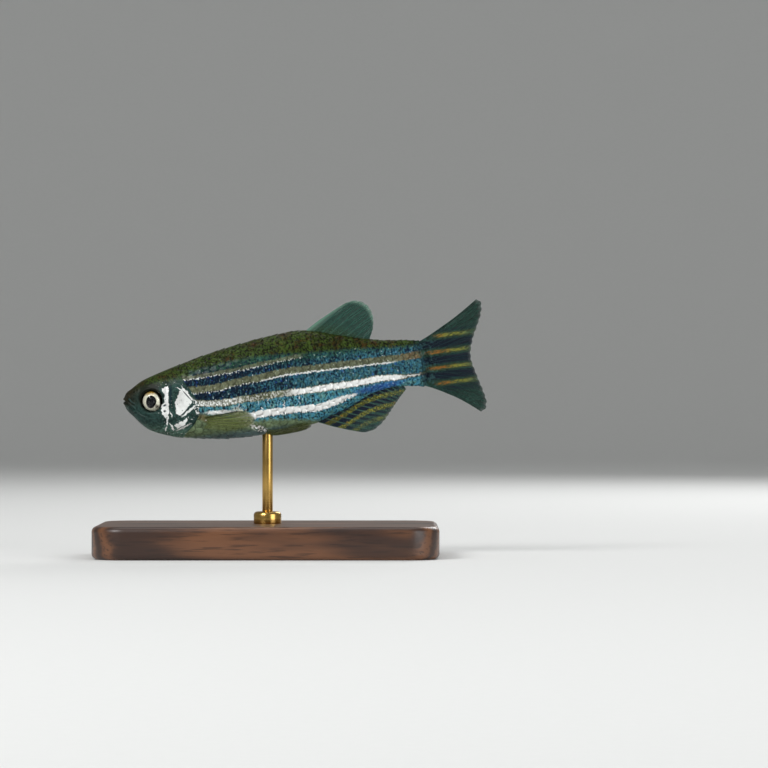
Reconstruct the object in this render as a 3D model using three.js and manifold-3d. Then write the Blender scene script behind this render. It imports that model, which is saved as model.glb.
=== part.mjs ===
// A zebra danio (Danio rerio) at life size, level-bodied and a little head down, on a plain display stand.
// Millimetres, +Z up, +X towards the tail. The fish's left side faces -Y.
// The origin is the centre of the base's underside, right below the rod.
import * as THREE from "three";
import { mergeVertices } from "three/addons/utils/BufferGeometryUtils.js";
import Module from "manifold-3d";

const wasm = await Module();
wasm.setup();

// Driving dimensions of the fish, in its own straight frame: u runs from the snout tip towards the tail,
// w is the height over the line from the snout tip to the middle of the caudal fin's root.
const BODY_END = 38.1;
const PITCH = THREE.MathUtils.degToRad(7.15);
const NOSE_ROUND = 0.7;
const STALK_ROUND = 0.8;
const STALK_LEVEL = 0.15;
const GAP = 0.3;
const REACH = 8; // further out than any part of the body, for cuts right through it

// Outline of the body as [u, height] and [u, half breadth], read at the stations where it changes.
const BACK = [
  [0, 0.95], [0.9, 1.37], [2.3, 2.2], [3.6, 2.68], [6.1, 3.4], [10, 4.4], [15, 5.35],
  [20, 5.97], [23, 6.0], [27.3, 4.87], [30.6, 3.98], [33.4, 3.5], [36.8, 3.12], [38.1, 3.05],
];
const BELLY = [
  [0, -1.3], [0.56, -1.52], [1.63, -2.8], [2.7, -3.8], [5.1, -4.85], [8.7, -5.65], [12.4, -6.12],
  [16, -6.15], [20, -5.85], [22.8, -5.6], [24.9, -4.85], [27.5, -4.02], [30.1, -2.85], [32.6, -2.32],
  [35, -2.42], [38.1, -2.8],
];
const BREADTH = [
  [0, 0.9], [0.9, 1.35], [2, 1.8], [3.5, 2.2], [6.1, 2.68], [8.7, 2.9], [12.4, 3.08], [16, 3.02],
  [20, 2.75], [23.5, 2.35], [27.5, 1.75], [32, 1.15], [35, 0.86], [38.1, 0.55],
];
// The widest level of each section, as a share of its depth, and how square the section is.
const WIDEST = 0.54;
const SQUARENESS = [[0, 2.5], [6, 2.4], [12, 2.2], [24, 2.1], [38.1, 2.0]];

// The tail swings gently to the fish's right behind this station.
const BEND_FROM = 14;
const BEND_TIP = 1.3;
const BEND_LENGTH = 31;

// Resolution of the body: sides round a section and stations along it.
const SIDES = 32;
const STATIONS = 46;
const EYE_SIDES = 20;
const STATION_CROWDING = 1.45;

// Where the body is parted: the gill slit, the vent and the tail stalk.
const GILL_SLIT = [
  [7.7, REACH], [7.6, 3.4], [7.55, 2.1], [8.1, 1.0], [8.85, -0.3], [9.25, -1.6], [9.15, -2.7],
  [8.3, -3.9], [7.2, -4.8], [6.3, -5.7], [5.6, -REACH],
];
const VENT_CUT = [[23.25, REACH], [23.25, -REACH]];
const STALK_CUT = [[34.7, REACH], [34.7, -REACH]];
const JAW_CUT = [
  [-0.8, 0.95], [0, 0.14], [0.62, -0.55], [1.25, -1.15], [2, -1.85], [2.45, -2.7], [2.5, -5],
];

// Head details.
const EYE = { u: 3.42, w: -0.32, radius: 1.34, depth: 0.88, inset: 0.74, gap: 0.25 };
const LENS = { radius: 0.72, lift: 0.17, shift: -0.12 };
const SLIT_STEPS = 20;
const COVER_STEPS = 26;
const GILL_COVER = [
  [6.5, 1.75], [7.6, 1.45], [9.9, 1.3], [10.4, -1.5], [9.6, -5.1], [7.2, -5.2], [6.1, -4.3],
  [5.35, -3.2], [5.2, -1.6], [5.5, 0.3], [5.9, 1.3],
];
const COVER_THICK = 0.55;
const COVER_LIFT = 0.14;
const THROAT = 0.35;
const NOSTRIL = { u: 1.55, w: 1.12, radius: 0.2, depth: 0.35 };
const LIP_RADIUS = 0.2;
const LIP_OFFSET = 0.33;
const LIP_PATH_SHARE = 0.96;
const MOUTH_CORNER = 1.2;
const MOUTH_STEPS = 5;

// Barbels as [u, w, share of the flank's half breadth], root to tip.
const BARBELS = {
  barbel_rostral: { root: 0.26, path: [[0.75, 0.3, 1.0], [1.1, -0.15, 1.42], [1.55, -0.45, 1.45]] },
  barbel_maxillary: {
    root: 0.27,
    path: [[1.35, -1.0, 0.92], [1.9, -1.75, 1.32], [2.9, -2.35, 1.3], [4.1, -2.75, 1.26]],
  },
};

// Fins. base and edge are [u, w] lines: ray roots are spread along base and ray tips along edge.
const MEMBRANE = 0.25;
const FIN_EDGE = 0.14;
const FIN_ROOT = 0.38;
const ROOT_SHARE = 0.25;
const EDGE_SHARE = 0.75;
const RAY_RIDGE = 0.12;
const COLUMNS_PER_RAY = 4;
const BRANCH_FROM = 0.5;
const MEMBRANE_NOTCH = 0.035;

const MEDIAN_FINS = {
  dorsal_fin: {
    rays: 9,
    rows: 5,
    base: [[22.4, 5.35], [26.2, 4.5], [30.7, 3.3]],
    edge: [[28.3, 8.6], [29.4, 8.88], [30.5, 8.6], [31.3, 7.85], [31.65, 6.6], [31.5, 5.3], [31.2, 4.55]],
    bow: 0.16,
  },
  anal_fin: {
    rays: 14,
    rows: 5,
    base: [[22.9, -5.15], [26.5, -3.7], [30.1, -2.2], [34.15, -1.75]],
    edge: [
      [27.9, -7.15], [29.1, -7.4], [30.3, -7.1], [31.5, -6.2], [32.6, -4.95], [33.7, -3.7], [34.6, -2.75],
    ],
    bow: -0.2,
  },
  caudal_fin_upper: {
    rays: 10,
    rows: 8,
    base: [[36.2, 2.5], [37.0, 2.35], [37.3, 1.5], [37.4, 0.32]],
    edge: [
      [44.75, 7.25], [45.15, 6.75], [44.95, 5.5], [44.4, 4.2], [43.75, 2.9], [43.3, 1.75], [43.05, 0.36],
    ],
    bow: -0.2,
    bowEnd: 0,
  },
  caudal_fin_lower: {
    rays: 9,
    rows: 8,
    base: [[37.4, -0.02], [37.3, -1.2], [36.9, -2.05], [36.0, -2.2]],
    edge: [
      [43.0, 0.04], [43.3, -1.45], [43.65, -2.8], [44.0, -4.1], [44.25, -5.4], [44.1, -6.25], [43.5, -6.75],
    ],
    bow: 0,
    bowEnd: 0.36,
  },
};

const PECTORAL = {
  rays: 10,
  rows: 5,
  base: [[9.35, -3.15], [9.45, -3.7], [9.3, -4.25]],
  edge: [
    [14.0, -2.8], [14.9, -3.0], [15.55, -3.5], [15.8, -4.15], [15.3, -4.75], [14.3, -5.05], [12.9, -5.15],
    [11.9, -5.05],
  ],
  rootSunk: 0.5,
  standOff: 1.1,
};

// Pelvic fins, laid back along the belly, as [u, half breadth] lines under the body.
const PELVIC = {
  rays: 7,
  rows: 4,
  base: [[16.3, 0.5], [16.5, 0.85], [16.6, 1.25]],
  edge: [[20.6, 0.5], [21.6, 0.58], [22.3, 0.8], [22.6, 1.1], [22.2, 1.4], [21.2, 1.55]],
  rootSunk: 0.45,
  standOff: 0.5,
};

// Display stand.
const BASE = { length: 42, width: 25, thick: 4, corner: 4, bevel: 0.7 };
const ROD = { radius: 0.65, sides: 20, u: 17.0 };
const COLLAR = { radius: 1.7, height: 1.2, ease: 0.35, sides: 20 };
const BELLY_CLEARANCE = 11;

const COLOURS = {
  flesh: { color: 0x3d5a6c, roughness: 0.35, metalness: 0.3 },
  silver: { color: 0xd8dcdc, roughness: 0.25, metalness: 0.6 },
  eye: { color: 0xd9d2ad, roughness: 0.15, metalness: 0.2 },
  fin: { color: 0x4f7d76, roughness: 0.45, metalness: 0.0 },
  wood: { color: 0x4a3021, roughness: 0.5, metalness: 0.0 },
  brass: { color: 0xb08d4a, roughness: 0.3, metalness: 0.9 },
};

// A smooth curve through [x, value] points, clamped at its ends, with Catmull-Rom slopes.
function smoothLine(points) {
  const slope = points.map((p, i) => {
    const a = points[Math.max(i - 1, 0)];
    const b = points[Math.min(i + 1, points.length - 1)];
    return (b[1] - a[1]) / (b[0] - a[0]);
  });
  return (x) => {
    const at = THREE.MathUtils.clamp(x, points[0][0], points[points.length - 1][0]);
    let i = 0;
    while (i < points.length - 2 && at > points[i + 1][0]) i += 1;
    const [x0, y0] = points[i];
    const [x1, y1] = points[i + 1];
    const span = x1 - x0;
    const t = (at - x0) / span;
    const t2 = t * t;
    const t3 = t2 * t;
    return (
      y0 * (2 * t3 - 3 * t2 + 1) + y1 * (3 * t2 - 2 * t3) +
      slope[i] * span * (t3 - 2 * t2 + t) + slope[i + 1] * span * (t3 - t2)
    );
  };
}

const backAt = smoothLine(BACK);
const bellyAt = smoothLine(BELLY);
const breadthAt = smoothLine(BREADTH);
const squarenessAt = smoothLine(SQUARENESS);

// How far the body has rounded up from its tip, 0 at the tip and 1 past the rounding.
function rounding(distance, radius) {
  const left = 1 - THREE.MathUtils.clamp(distance / radius, 0, 1);
  return Math.sqrt(1 - left * left);
}

// One section of the body, grown outwards by grow: its level, reach up and down, half breadth and exponent.
function section(u, grow = 0) {
  const nose = rounding(u + grow, NOSE_ROUND + grow);
  const end = rounding(BODY_END + grow - u, STALK_ROUND + grow);
  const top = (STALK_LEVEL + (backAt(u) - STALK_LEVEL) * end) * nose + grow * nose * end;
  const bottom = (STALK_LEVEL + (bellyAt(u) - STALK_LEVEL) * end) * nose - grow * nose * end;
  const level = bottom + (top - bottom) * WIDEST;
  const half = Math.max((breadthAt(u) + grow) * nose * end, 0.01);
  return { level, up: top - level, down: level - bottom, half, power: 2 / squarenessAt(u) };
}

// A point of the body's surface. turn is 0 on the back and half a turn under the belly.
function bodyPoint(u, turn, grow) {
  const s = section(u, grow);
  const across = Math.sin(turn);
  const height = Math.cos(turn);
  const y = s.half * Math.sign(across) * Math.abs(across) ** s.power;
  const reach = height > 0 ? s.up : s.down;
  return new THREE.Vector3(u, y, s.level + reach * Math.sign(height) * Math.abs(height) ** s.power);
}

// Half breadth of the body at height w.
function flankAt(u, w) {
  const s = section(u);
  const rise = Math.min(Math.abs(w - s.level) / (w > s.level ? s.up : s.down), 1) ** (1 / s.power);
  return s.half * Math.sqrt(1 - rise * rise) ** s.power;
}

// A point of the flank, and the way it faces there. side is -1 on the fish's left.
function flankPoint(u, w, side) {
  return new THREE.Vector3(u, side * flankAt(u, w), w);
}

function flankNormal(u, w, side) {
  const step = 0.05;
  const alongU = (flankAt(u + step, w) - flankAt(u - step, w)) / (2 * step);
  const alongW = (flankAt(u, w + step) - flankAt(u, w - step)) / (2 * step);
  return new THREE.Vector3(-alongU, side, -alongW).normalize();
}

// Height of the belly at half breadth y.
function bellyHeight(u, y) {
  const s = section(u);
  const out = Math.min(y / s.half, 1) ** (1 / s.power);
  return s.level - s.down * Math.sqrt(1 - out * out) ** s.power;
}

// Sideways swing of the body's midline.
function bend(u) {
  const along = Math.max(u - BEND_FROM, 0) / BEND_LENGTH;
  return BEND_TIP * along * along;
}

// A closed three.js geometry as a solid for cutting and joining.
function solidOf(geometry) {
  const bare = geometry.clone();
  bare.deleteAttribute("normal");
  bare.deleteAttribute("uv");
  const merged = mergeVertices(bare, 1e-4);
  return new wasm.Manifold(
    new wasm.Mesh({
      numProp: 3,
      vertProperties: new Float32Array(merged.attributes.position.array),
      triVerts: new Uint32Array(merged.index.array),
    }),
  );
}

// The body, grown outwards by grow, from a sphere whose poles become the snout and the tail stalk's end.
function bodySolid(grow = 0) {
  const geometry = new THREE.SphereGeometry(1, SIDES, STATIONS);
  const position = geometry.attributes.position;
  for (let row = 0; row <= STATIONS; row += 1) {
    const share = (row / STATIONS) ** STATION_CROWDING;
    const u = -grow + (BODY_END + 2 * grow) * share;
    const pole = row === 0 || row === STATIONS;
    for (let side = 0; side <= SIDES; side += 1) {
      const turn = (2 * Math.PI * side) / SIDES;
      const p = pole ? new THREE.Vector3(u, 0, row ? STALK_LEVEL : 0) : bodyPoint(u, turn, grow);
      position.setXYZ(row * (SIDES + 1) + side, p.x, p.y, p.z);
    }
  }
  return solidOf(geometry);
}

// A closed outline of [u, w] points, drawn right across the body between two breadths.
function prism(outline, from = -REACH, to = REACH) {
  const shape = new THREE.Shape(outline.map(([u, w]) => new THREE.Vector2(u, w)));
  const geometry = new THREE.ExtrudeGeometry(shape, { depth: to - from, bevelEnabled: false });
  geometry.rotateX(Math.PI / 2);
  geometry.translate(0, to, 0);
  return solidOf(geometry);
}

// The same on one side of the midline only, from the throat outwards.
function sidePrism(outline, side) {
  return side < 0 ? prism(outline, -REACH, -THROAT) : prism(outline, THROAT, REACH);
}

// Moves every point of a line sideways by offset, along the mean of its neighbours' normals.
function offsetLine(line, offset, closed = false) {
  return line.map((p, i) => {
    const a = line[closed ? (i + line.length - 1) % line.length : Math.max(i - 1, 0)];
    const b = line[closed ? (i + 1) % line.length : Math.min(i + 1, line.length - 1)];
    const along = new THREE.Vector2(b[0] - a[0], b[1] - a[1]).normalize();
    return [p[0] - along.y * offset, p[1] + along.x * offset];
  });
}

// A thin cut of one gap's width along a line.
function cutAlong(line) {
  return prism([...offsetLine(line, GAP / 2), ...offsetLine(line, -GAP / 2).reverse()]);
}

function smoothCurve(points, closed = false) {
  return new THREE.CatmullRomCurve3(points.map((p) => new THREE.Vector3(...p)), closed, "centripetal");
}

// A line of [u, w] points drawn smoothly through the given ones, in equal steps.
function smoothOutline(points, steps, closed = false) {
  const curve = smoothCurve(points.map(([u, w]) => [u, w, 0]), closed);
  const drawn = curve.getSpacedPoints(steps).map((p) => [p.x, p.y]);
  return closed ? drawn.slice(0, -1) : drawn;
}

// A closed slab from a grid of columns by rows: at(column, row) gives its middle, and half its thickness.
// Both faces have the same diagonals, so a thin curved slab doesn't cross itself.
function slab(columns, rows, at, halfAt) {
  const grid = new THREE.PlaneGeometry(1, 1, columns, rows);
  const count = (columns + 1) * (rows + 1);
  const middle = [];
  for (let r = 0; r <= rows; r += 1) for (let c = 0; c <= columns; c += 1) middle.push(at(c, r));
  const pick = (c, r) => middle[r * (columns + 1) + c];
  const points = new Float32Array(count * 6);
  for (let r = 0; r <= rows; r += 1) {
    for (let c = 0; c <= columns; c += 1) {
      const across = pick(Math.min(c + 1, columns), r).clone().sub(pick(Math.max(c - 1, 0), r));
      const along = pick(c, Math.min(r + 1, rows)).clone().sub(pick(c, Math.max(r - 1, 0)));
      const out = across.cross(along).normalize().multiplyScalar(halfAt(c, r));
      const k = r * (columns + 1) + c;
      pick(c, r).clone().sub(out).toArray(points, k * 3);
      pick(c, r).clone().add(out).toArray(points, (count + k) * 3);
    }
  }
  const faces = Array.from(grid.index.array);
  const both = [...faces];
  for (let i = 0; i < faces.length; i += 3) {
    both.push(faces[i] + count, faces[i + 2] + count, faces[i + 1] + count);
  }
  const rim = [];
  for (let c = 0; c < columns; c += 1) rim.push(c);
  for (let r = 0; r < rows; r += 1) rim.push(r * (columns + 1) + columns);
  for (let c = columns; c > 0; c -= 1) rim.push(rows * (columns + 1) + c);
  for (let r = rows; r > 0; r -= 1) rim.push(r * (columns + 1));
  rim.forEach((a, i) => {
    const b = rim[(i + 1) % rim.length];
    both.push(a, b, b + count, a, b + count, a + count);
  });
  const geometry = new THREE.BufferGeometry();
  geometry.setAttribute("position", new THREE.BufferAttribute(points, 3));
  geometry.setIndex(both);
  const made = solidOf(geometry);
  if (made.volume() > 0) return made;
  for (let i = 0; i < both.length; i += 3) [both[i + 1], both[i + 2]] = [both[i + 2], both[i + 1]];
  geometry.setIndex(both);
  return solidOf(geometry);
}

// Height of a ray's ridge over the membrane: one crest near the root, which forks into two further out.
function ridgeAt(column, out) {
  const place = column % COLUMNS_PER_RAY;
  const forked = THREE.MathUtils.smoothstep(out, BRANCH_FROM - 0.15, BRANCH_FROM + 0.15);
  const stem = [1, 0.35, 0, 0.35][place];
  const fork = [0.25, 1, 0, 1][place];
  const rise = THREE.MathUtils.smoothstep(out, 0, 0.2);
  const fade = 1 - 0.65 * THREE.MathUtils.smoothstep(out, 0.8, 1);
  return RAY_RIDGE * (stem * (1 - forked) + fork * forked) * rise * fade;
}

// A fin of rays: placeAt(share across the rays, share along the ray) gives a point of its middle surface.
function raySlab({ rays, rows }, placeAt) {
  const columns = (rays - 1) * COLUMNS_PER_RAY;
  const reachAt = (c) => (c % COLUMNS_PER_RAY === COLUMNS_PER_RAY / 2 ? 1 - MEMBRANE_NOTCH : 1);
  return slab(
    columns,
    rows,
    (c, r) => placeAt(c / columns, (reachAt(c) * r) / rows),
    (c, r) => {
      const out = r / rows;
      const thick = out < ROOT_SHARE
        ? THREE.MathUtils.lerp(FIN_ROOT, MEMBRANE, out / ROOT_SHARE)
        : THREE.MathUtils.lerp(MEMBRANE, FIN_EDGE, Math.max(out - EDGE_SHARE, 0) / (1 - EDGE_SHARE));
      return thick + ridgeAt(c, out);
    },
  );
}

// A fin on the body's midline, trimmed one gap clear of the body.
function medianFin(fin, keepOut) {
  const base = smoothCurve(fin.base.map(([u, w]) => [u, 0, w]));
  const edge = smoothCurve(fin.edge.map(([u, w]) => [u, 0, w]));
  const bowAt = (across) => THREE.MathUtils.lerp(fin.bow, fin.bowEnd ?? 0, across);
  const solid = raySlab(fin, (across, out) => {
    const root = base.getPointAt(across);
    const tip = edge.getPointAt(across);
    const along = tip.clone().sub(root);
    const sag = new THREE.Vector3(-along.z, 0, along.x).multiplyScalar(bowAt(across) * out * (1 - out) * 0.5);
    return root.lerp(tip, out).add(sag);
  });
  return largest(solid.subtract(keepOut));
}

// A pectoral fin, rooted behind the gill cover and swept back along the flank. side is -1 on the fish's left.
function pectoralFin(side, keepOut) {
  const base = smoothCurve(PECTORAL.base.map(([u, w]) => [u, 0, w]));
  const edge = smoothCurve(PECTORAL.edge.map(([u, w]) => [u, 0, w]));
  const solid = raySlab(PECTORAL, (across, out) => {
    const p = base.getPointAt(across).lerp(edge.getPointAt(across), out);
    const off = THREE.MathUtils.lerp(-PECTORAL.rootSunk, PECTORAL.standOff, 1 - (1 - out) ** 4);
    p.y = side * (flankAt(p.x, p.z) + off);
    return p;
  });
  return largest(solid.subtract(keepOut));
}

// A pelvic fin, folded back under the belly.
function pelvicFin(side, keepOut) {
  const base = smoothCurve(PELVIC.base.map(([u, y]) => [u, y, 0]));
  const edge = smoothCurve(PELVIC.edge.map(([u, y]) => [u, y, 0]));
  const solid = raySlab(PELVIC, (across, out) => {
    const p = base.getPointAt(across).lerp(edge.getPointAt(across), out);
    const off = THREE.MathUtils.lerp(-PELVIC.rootSunk, PELVIC.standOff, 1 - (1 - out) ** 4);
    p.z = bellyHeight(p.x, p.y) - off;
    p.y *= side;
    return p;
  });
  return largest(solid.subtract(keepOut));
}

function largest(solid) {
  return solid.decompose().reduce((a, b) => (b.volume() > a.volume() ? b : a));
}

// An ellipsoid whose depth lies along the facing direction.
function ellipsoid(radius, depth, centre, facing, sides = EYE_SIDES) {
  const geometry = new THREE.SphereGeometry(1, sides, Math.round(sides / 2));
  geometry.scale(radius, depth, radius);
  geometry.applyQuaternion(new THREE.Quaternion().setFromUnitVectors(new THREE.Vector3(0, 1, 0), facing));
  geometry.translate(centre.x, centre.y, centre.z);
  return solidOf(geometry);
}

// A tube along a curve. shareAt gives its radius at each share of the way, by scaling the extruded rings.
function taperedTube(curve, radius, shareAt, steps, sides) {
  const circle = new THREE.Shape();
  circle.absarc(0, 0, radius, 0, 2 * Math.PI, false);
  const outline = circle.getSpacedPoints(sides).slice(0, sides);
  const geometry = new THREE.ExtrudeGeometry(new THREE.Shape(outline), {
    steps,
    bevelEnabled: false,
    extrudePath: curve,
  });
  const position = geometry.attributes.position;
  const rings = Array.from({ length: steps + 1 }, (_, i) => curve.getPointAt(i / steps));
  const p = new THREE.Vector3();
  for (let i = 0; i < position.count; i += 1) {
    p.fromBufferAttribute(position, i);
    let near = 0;
    rings.forEach((ring, k) => {
      if (ring.distanceTo(p) < rings[near].distanceTo(p)) near = k;
    });
    p.sub(rings[near]).multiplyScalar(shareAt(near / steps)).add(rings[near]);
    position.setXYZ(i, p.x, p.y, p.z);
  }
  return solidOf(geometry);
}

// A barbel on one side of the mouth, trimmed clear of the head.
function barbel({ root, path }, side, keepOut) {
  const points = path.map(([u, w, share]) => [u, side * flankAt(u, w) * share, w]);
  const shareAt = (along) => 1 - 0.6 * along;
  return largest(taperedTube(smoothCurve(points), root, shareAt, 8, 6).subtract(keepOut));
}

// The station where the snout reaches out to height w.
function snoutAt(w) {
  let u = 0.02;
  while (flankAt(u, w) < 0.05) u += 0.01;
  return u;
}

// A lip: a rounded rim along the mouth, from one corner round the snout tip to the other.
function lip(lift) {
  const height = smoothLine(JAW_CUT.slice(0, 4));
  const front = snoutAt(height(0) + lift);
  const points = [];
  for (let i = -MOUTH_STEPS; i <= MOUTH_STEPS; i += 1) {
    const back = (i / MOUTH_STEPS) ** 2;
    const u = front + (MOUTH_CORNER - front) * back;
    const w = height(u) + lift;
    points.push([u, Math.sign(i) * flankAt(u, w) * LIP_PATH_SHARE, w]);
  }
  const shareAt = (along) => 1 - 0.6 * Math.abs(2 * along - 1) ** 3;
  return taperedTube(smoothCurve(points), LIP_RADIUS, shareAt, 16, 6);
}

// The head, with a pocket under each gill cover, a socket for each eye and a pair of nostrils.
function headSolid(rough, shell) {
  let head = rough;
  for (const side of [-1, 1]) {
    head = head.subtract(shell.intersect(sidePrism(coverOutline, side)));
    const { centre, facing } = eyePlace(side);
    head = head.subtract(ellipsoid(EYE.radius + EYE.gap, EYE.depth + EYE.gap, centre, facing));
    const { u, w, radius, depth } = NOSTRIL;
    head = head.subtract(ellipsoid(radius, depth, flankPoint(u, w, side), flankNormal(u, w, side), 8));
  }
  return largest(head);
}

// Where an eye sits: set into the flank, and facing the way the flank does there.
function eyePlace(side) {
  const facing = flankNormal(EYE.u, EYE.w, side);
  const centre = flankPoint(EYE.u, EYE.w, side).addScaledVector(facing, -EYE.inset);
  return { centre, facing };
}

function eyeSolid(side) {
  const { centre, facing } = eyePlace(side);
  const pupil = centre.clone().addScaledVector(facing, EYE.depth - LENS.radius + LENS.lift);
  pupil.x += LENS.shift;
  const lens = ellipsoid(LENS.radius, LENS.radius, pupil, facing, 16);
  return ellipsoid(EYE.radius, EYE.depth, centre, facing).add(lens);
}

// The gill cover: a raised plate that lies one gap over the head under it.
function gillCover(side, raised, under, head) {
  const plate = raised.subtract(under).intersect(sidePrism(offsetLine(coverOutline, -GAP, true), side));
  return largest(plate.subtract(cutAlong(slitLine)).intersect(head));
}

const slitLine = smoothOutline(GILL_SLIT, SLIT_STEPS);
const coverOutline = smoothOutline(GILL_COVER, COVER_STEPS, true);
const body = bodySolid();
const grown = bodySolid(GAP);
const lips = [LIP_OFFSET, -LIP_OFFSET].map(lip);
const cuts = [JAW_CUT, slitLine, VENT_CUT, STALK_CUT].map(cutAlong);
const pieces = cuts
  .reduce((rest, cut) => rest.subtract(cut), lips.reduce((rest, rim) => rest.add(rim), body))
  .decompose()
  .filter((piece) => piece.volume() > 0.2)
  .sort((a, b) => a.boundingBox().max[0] - b.boundingBox().max[0]);
const [roughJaw, roughHead, trunk, tail, stalk] = pieces;

const ahead = prism([[-REACH, REACH], ...slitLine, [-REACH, -REACH]]);
const raised = bodySolid(COVER_LIFT);
const under = bodySolid(COVER_LIFT - COVER_THICK);
const pocket = grown.subtract(bodySolid(COVER_LIFT - COVER_THICK - GAP));

const solids = new Map([
  ["head", [headSolid(roughHead, pocket), "flesh"]],
  ["lower_jaw", [roughJaw, "flesh"]],
  ["trunk", [trunk, "flesh"]],
  ["tail", [tail, "flesh"]],
  ["tail_stalk", [stalk, "flesh"]],
]);
for (const [name, fin] of Object.entries(MEDIAN_FINS)) solids.set(name, [medianFin(fin, grown), "fin"]);
for (const [label, side] of [["left", -1], ["right", 1]]) {
  solids.set(`eye_${label}`, [eyeSolid(side), "eye"]);
  solids.set(`gill_cover_${label}`, [gillCover(side, raised, under, ahead), "silver"]);
  solids.set(`pectoral_fin_${label}`, [pectoralFin(side, grown), "fin"]);
  solids.set(`pelvic_fin_${label}`, [pelvicFin(side, grown), "fin"]);
  for (const [name, shape] of Object.entries(BARBELS)) {
    solids.set(`${name}_${label}`, [barbel(shape, side, grown), "flesh"]);
  }
}

function material(name) {
  return new THREE.MeshStandardMaterial(COLOURS[name]);
}

// A solid as a named mesh. The fish's own solids also take the swing of its tail.
function meshOf(name, solid, colour, swing = true) {
  const made = solid.getMesh();
  const points = new Float32Array(made.numVert * 3);
  for (let i = 0; i < made.numVert; i += 1) {
    const [u, y, w] = made.vertProperties.subarray(i * made.numProp, i * made.numProp + 3);
    points.set([u, swing ? y + bend(u) : y, w], i * 3);
  }
  const geometry = new THREE.BufferGeometry();
  geometry.setAttribute("position", new THREE.BufferAttribute(points, 3));
  geometry.setIndex(new THREE.BufferAttribute(made.triVerts, 1));
  const mesh = new THREE.Mesh(geometry, material(colour));
  mesh.name = name;
  return mesh;
}

const fish = new THREE.Group();
for (const [name, [solid, colour]] of solids) fish.add(meshOf(name, solid, colour));

// The fish is pitched head down, and hangs so that its belly clears the base right over the rod.
const rodTop = new THREE.Vector3(ROD.u, 0, bellyAt(ROD.u));
rodTop.applyAxisAngle(new THREE.Vector3(0, 1, 0), -PITCH);
fish.rotation.y = -PITCH;
fish.position.set(-rodTop.x, 0, BASE.thick + BELLY_CLEARANCE - rodTop.z);
fish.updateMatrixWorld(true);

// The base: a rounded slab with eased edges.
function baseSolid() {
  const { length, width, thick, corner, bevel } = BASE;
  const x = length / 2 - bevel;
  const y = width / 2 - bevel;
  const r = corner - bevel;
  const shape = new THREE.Shape();
  shape.absarc(x - r, y - r, r, 0, Math.PI / 2, false);
  shape.absarc(-x + r, y - r, r, Math.PI / 2, Math.PI, false);
  shape.absarc(-x + r, -y + r, r, Math.PI, 1.5 * Math.PI, false);
  shape.absarc(x - r, -y + r, r, 1.5 * Math.PI, 2 * Math.PI, false);
  const outline = new THREE.Shape(shape.getPoints(4).slice(0, -1));
  const geometry = new THREE.ExtrudeGeometry(outline, {
    depth: thick - 2 * bevel,
    bevelThickness: bevel,
    bevelSize: bevel,
    bevelSegments: 2,
  });
  geometry.translate(0, 0, bevel);
  return solidOf(geometry);
}

// The rod stands one gap over the base in its collar's bore, and is cut one gap short of the belly.
function rodSolid() {
  const top = BASE.thick + BELLY_CLEARANCE + 2;
  const geometry = new THREE.CylinderGeometry(ROD.radius, ROD.radius, top - BASE.thick - GAP, ROD.sides);
  geometry.rotateX(Math.PI / 2);
  geometry.translate(0, 0, (top + BASE.thick + GAP) / 2);
  const keepOut = grown.transform(Array.from(fish.matrixWorld.elements));
  const cut = solidOf(geometry).subtract(keepOut).decompose();
  return cut.sort((a, b) => a.boundingBox().min[2] - b.boundingBox().min[2])[0];
}

function collarSolid() {
  const { radius, height, ease, sides } = COLLAR;
  const bore = ROD.radius + GAP;
  const foot = BASE.thick + GAP;
  const profile = [
    [bore, foot], [radius, foot], [radius, foot + height - ease], [radius - ease, foot + height],
    [bore, foot + height], [bore, foot],
  ];
  const geometry = new THREE.LatheGeometry(profile.map(([r, z]) => new THREE.Vector2(r, z)), sides);
  geometry.rotateX(Math.PI / 2);
  return solidOf(geometry);
}

const stand = new THREE.Group();
stand.add(meshOf("stand_base", baseSolid(), "wood", false));
stand.add(meshOf("stand_rod", rodSolid(), "brass", false));
stand.add(meshOf("stand_collar", collarSolid(), "brass", false));

const part = new THREE.Group();
part.add(fish, stand);
export default part;
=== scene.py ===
"""A zebra danio on its display stand: skin, scales, fins, eyes and stand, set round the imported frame.

Lengths of the fish are in millimetres in its own straight frame: u runs from the snout tip towards the
tail, w is the height over the line to the middle of the tail fin's root, y is positive on its right.
"""

import math
import random
from bisect import bisect_left, bisect_right
from functools import cache, partial
from itertools import accumulate
from types import SimpleNamespace

import bmesh
import bpy
from bpy.props import FloatProperty, FloatVectorProperty, IntProperty, PointerProperty
from mathutils import Matrix, Vector


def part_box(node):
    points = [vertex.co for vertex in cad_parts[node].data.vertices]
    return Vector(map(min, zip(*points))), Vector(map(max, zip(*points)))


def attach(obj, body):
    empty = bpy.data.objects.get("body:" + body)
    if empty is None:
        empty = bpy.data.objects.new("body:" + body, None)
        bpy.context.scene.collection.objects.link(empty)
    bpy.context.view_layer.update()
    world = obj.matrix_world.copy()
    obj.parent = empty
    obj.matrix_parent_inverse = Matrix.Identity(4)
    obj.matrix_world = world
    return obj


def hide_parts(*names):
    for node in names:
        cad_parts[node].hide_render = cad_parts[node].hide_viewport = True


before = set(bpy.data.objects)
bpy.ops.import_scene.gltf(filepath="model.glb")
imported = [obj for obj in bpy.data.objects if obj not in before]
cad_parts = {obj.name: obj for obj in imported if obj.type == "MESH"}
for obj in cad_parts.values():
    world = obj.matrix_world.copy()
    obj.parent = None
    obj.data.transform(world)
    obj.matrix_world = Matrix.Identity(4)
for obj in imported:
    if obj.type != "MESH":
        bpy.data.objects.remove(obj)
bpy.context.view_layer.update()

bl_info = {
    "name": "Zebra danio",
    "version": (1, 0, 0),
    "blender": (4, 5, 0),
    "location": "3D View > Sidebar > Danio",
    "description": "Builds a life-size zebra danio on a display stand",
    "category": "Add Mesh",
}

MM = 0.001
SIDES = (("left", -1), ("right", 1))

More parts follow.
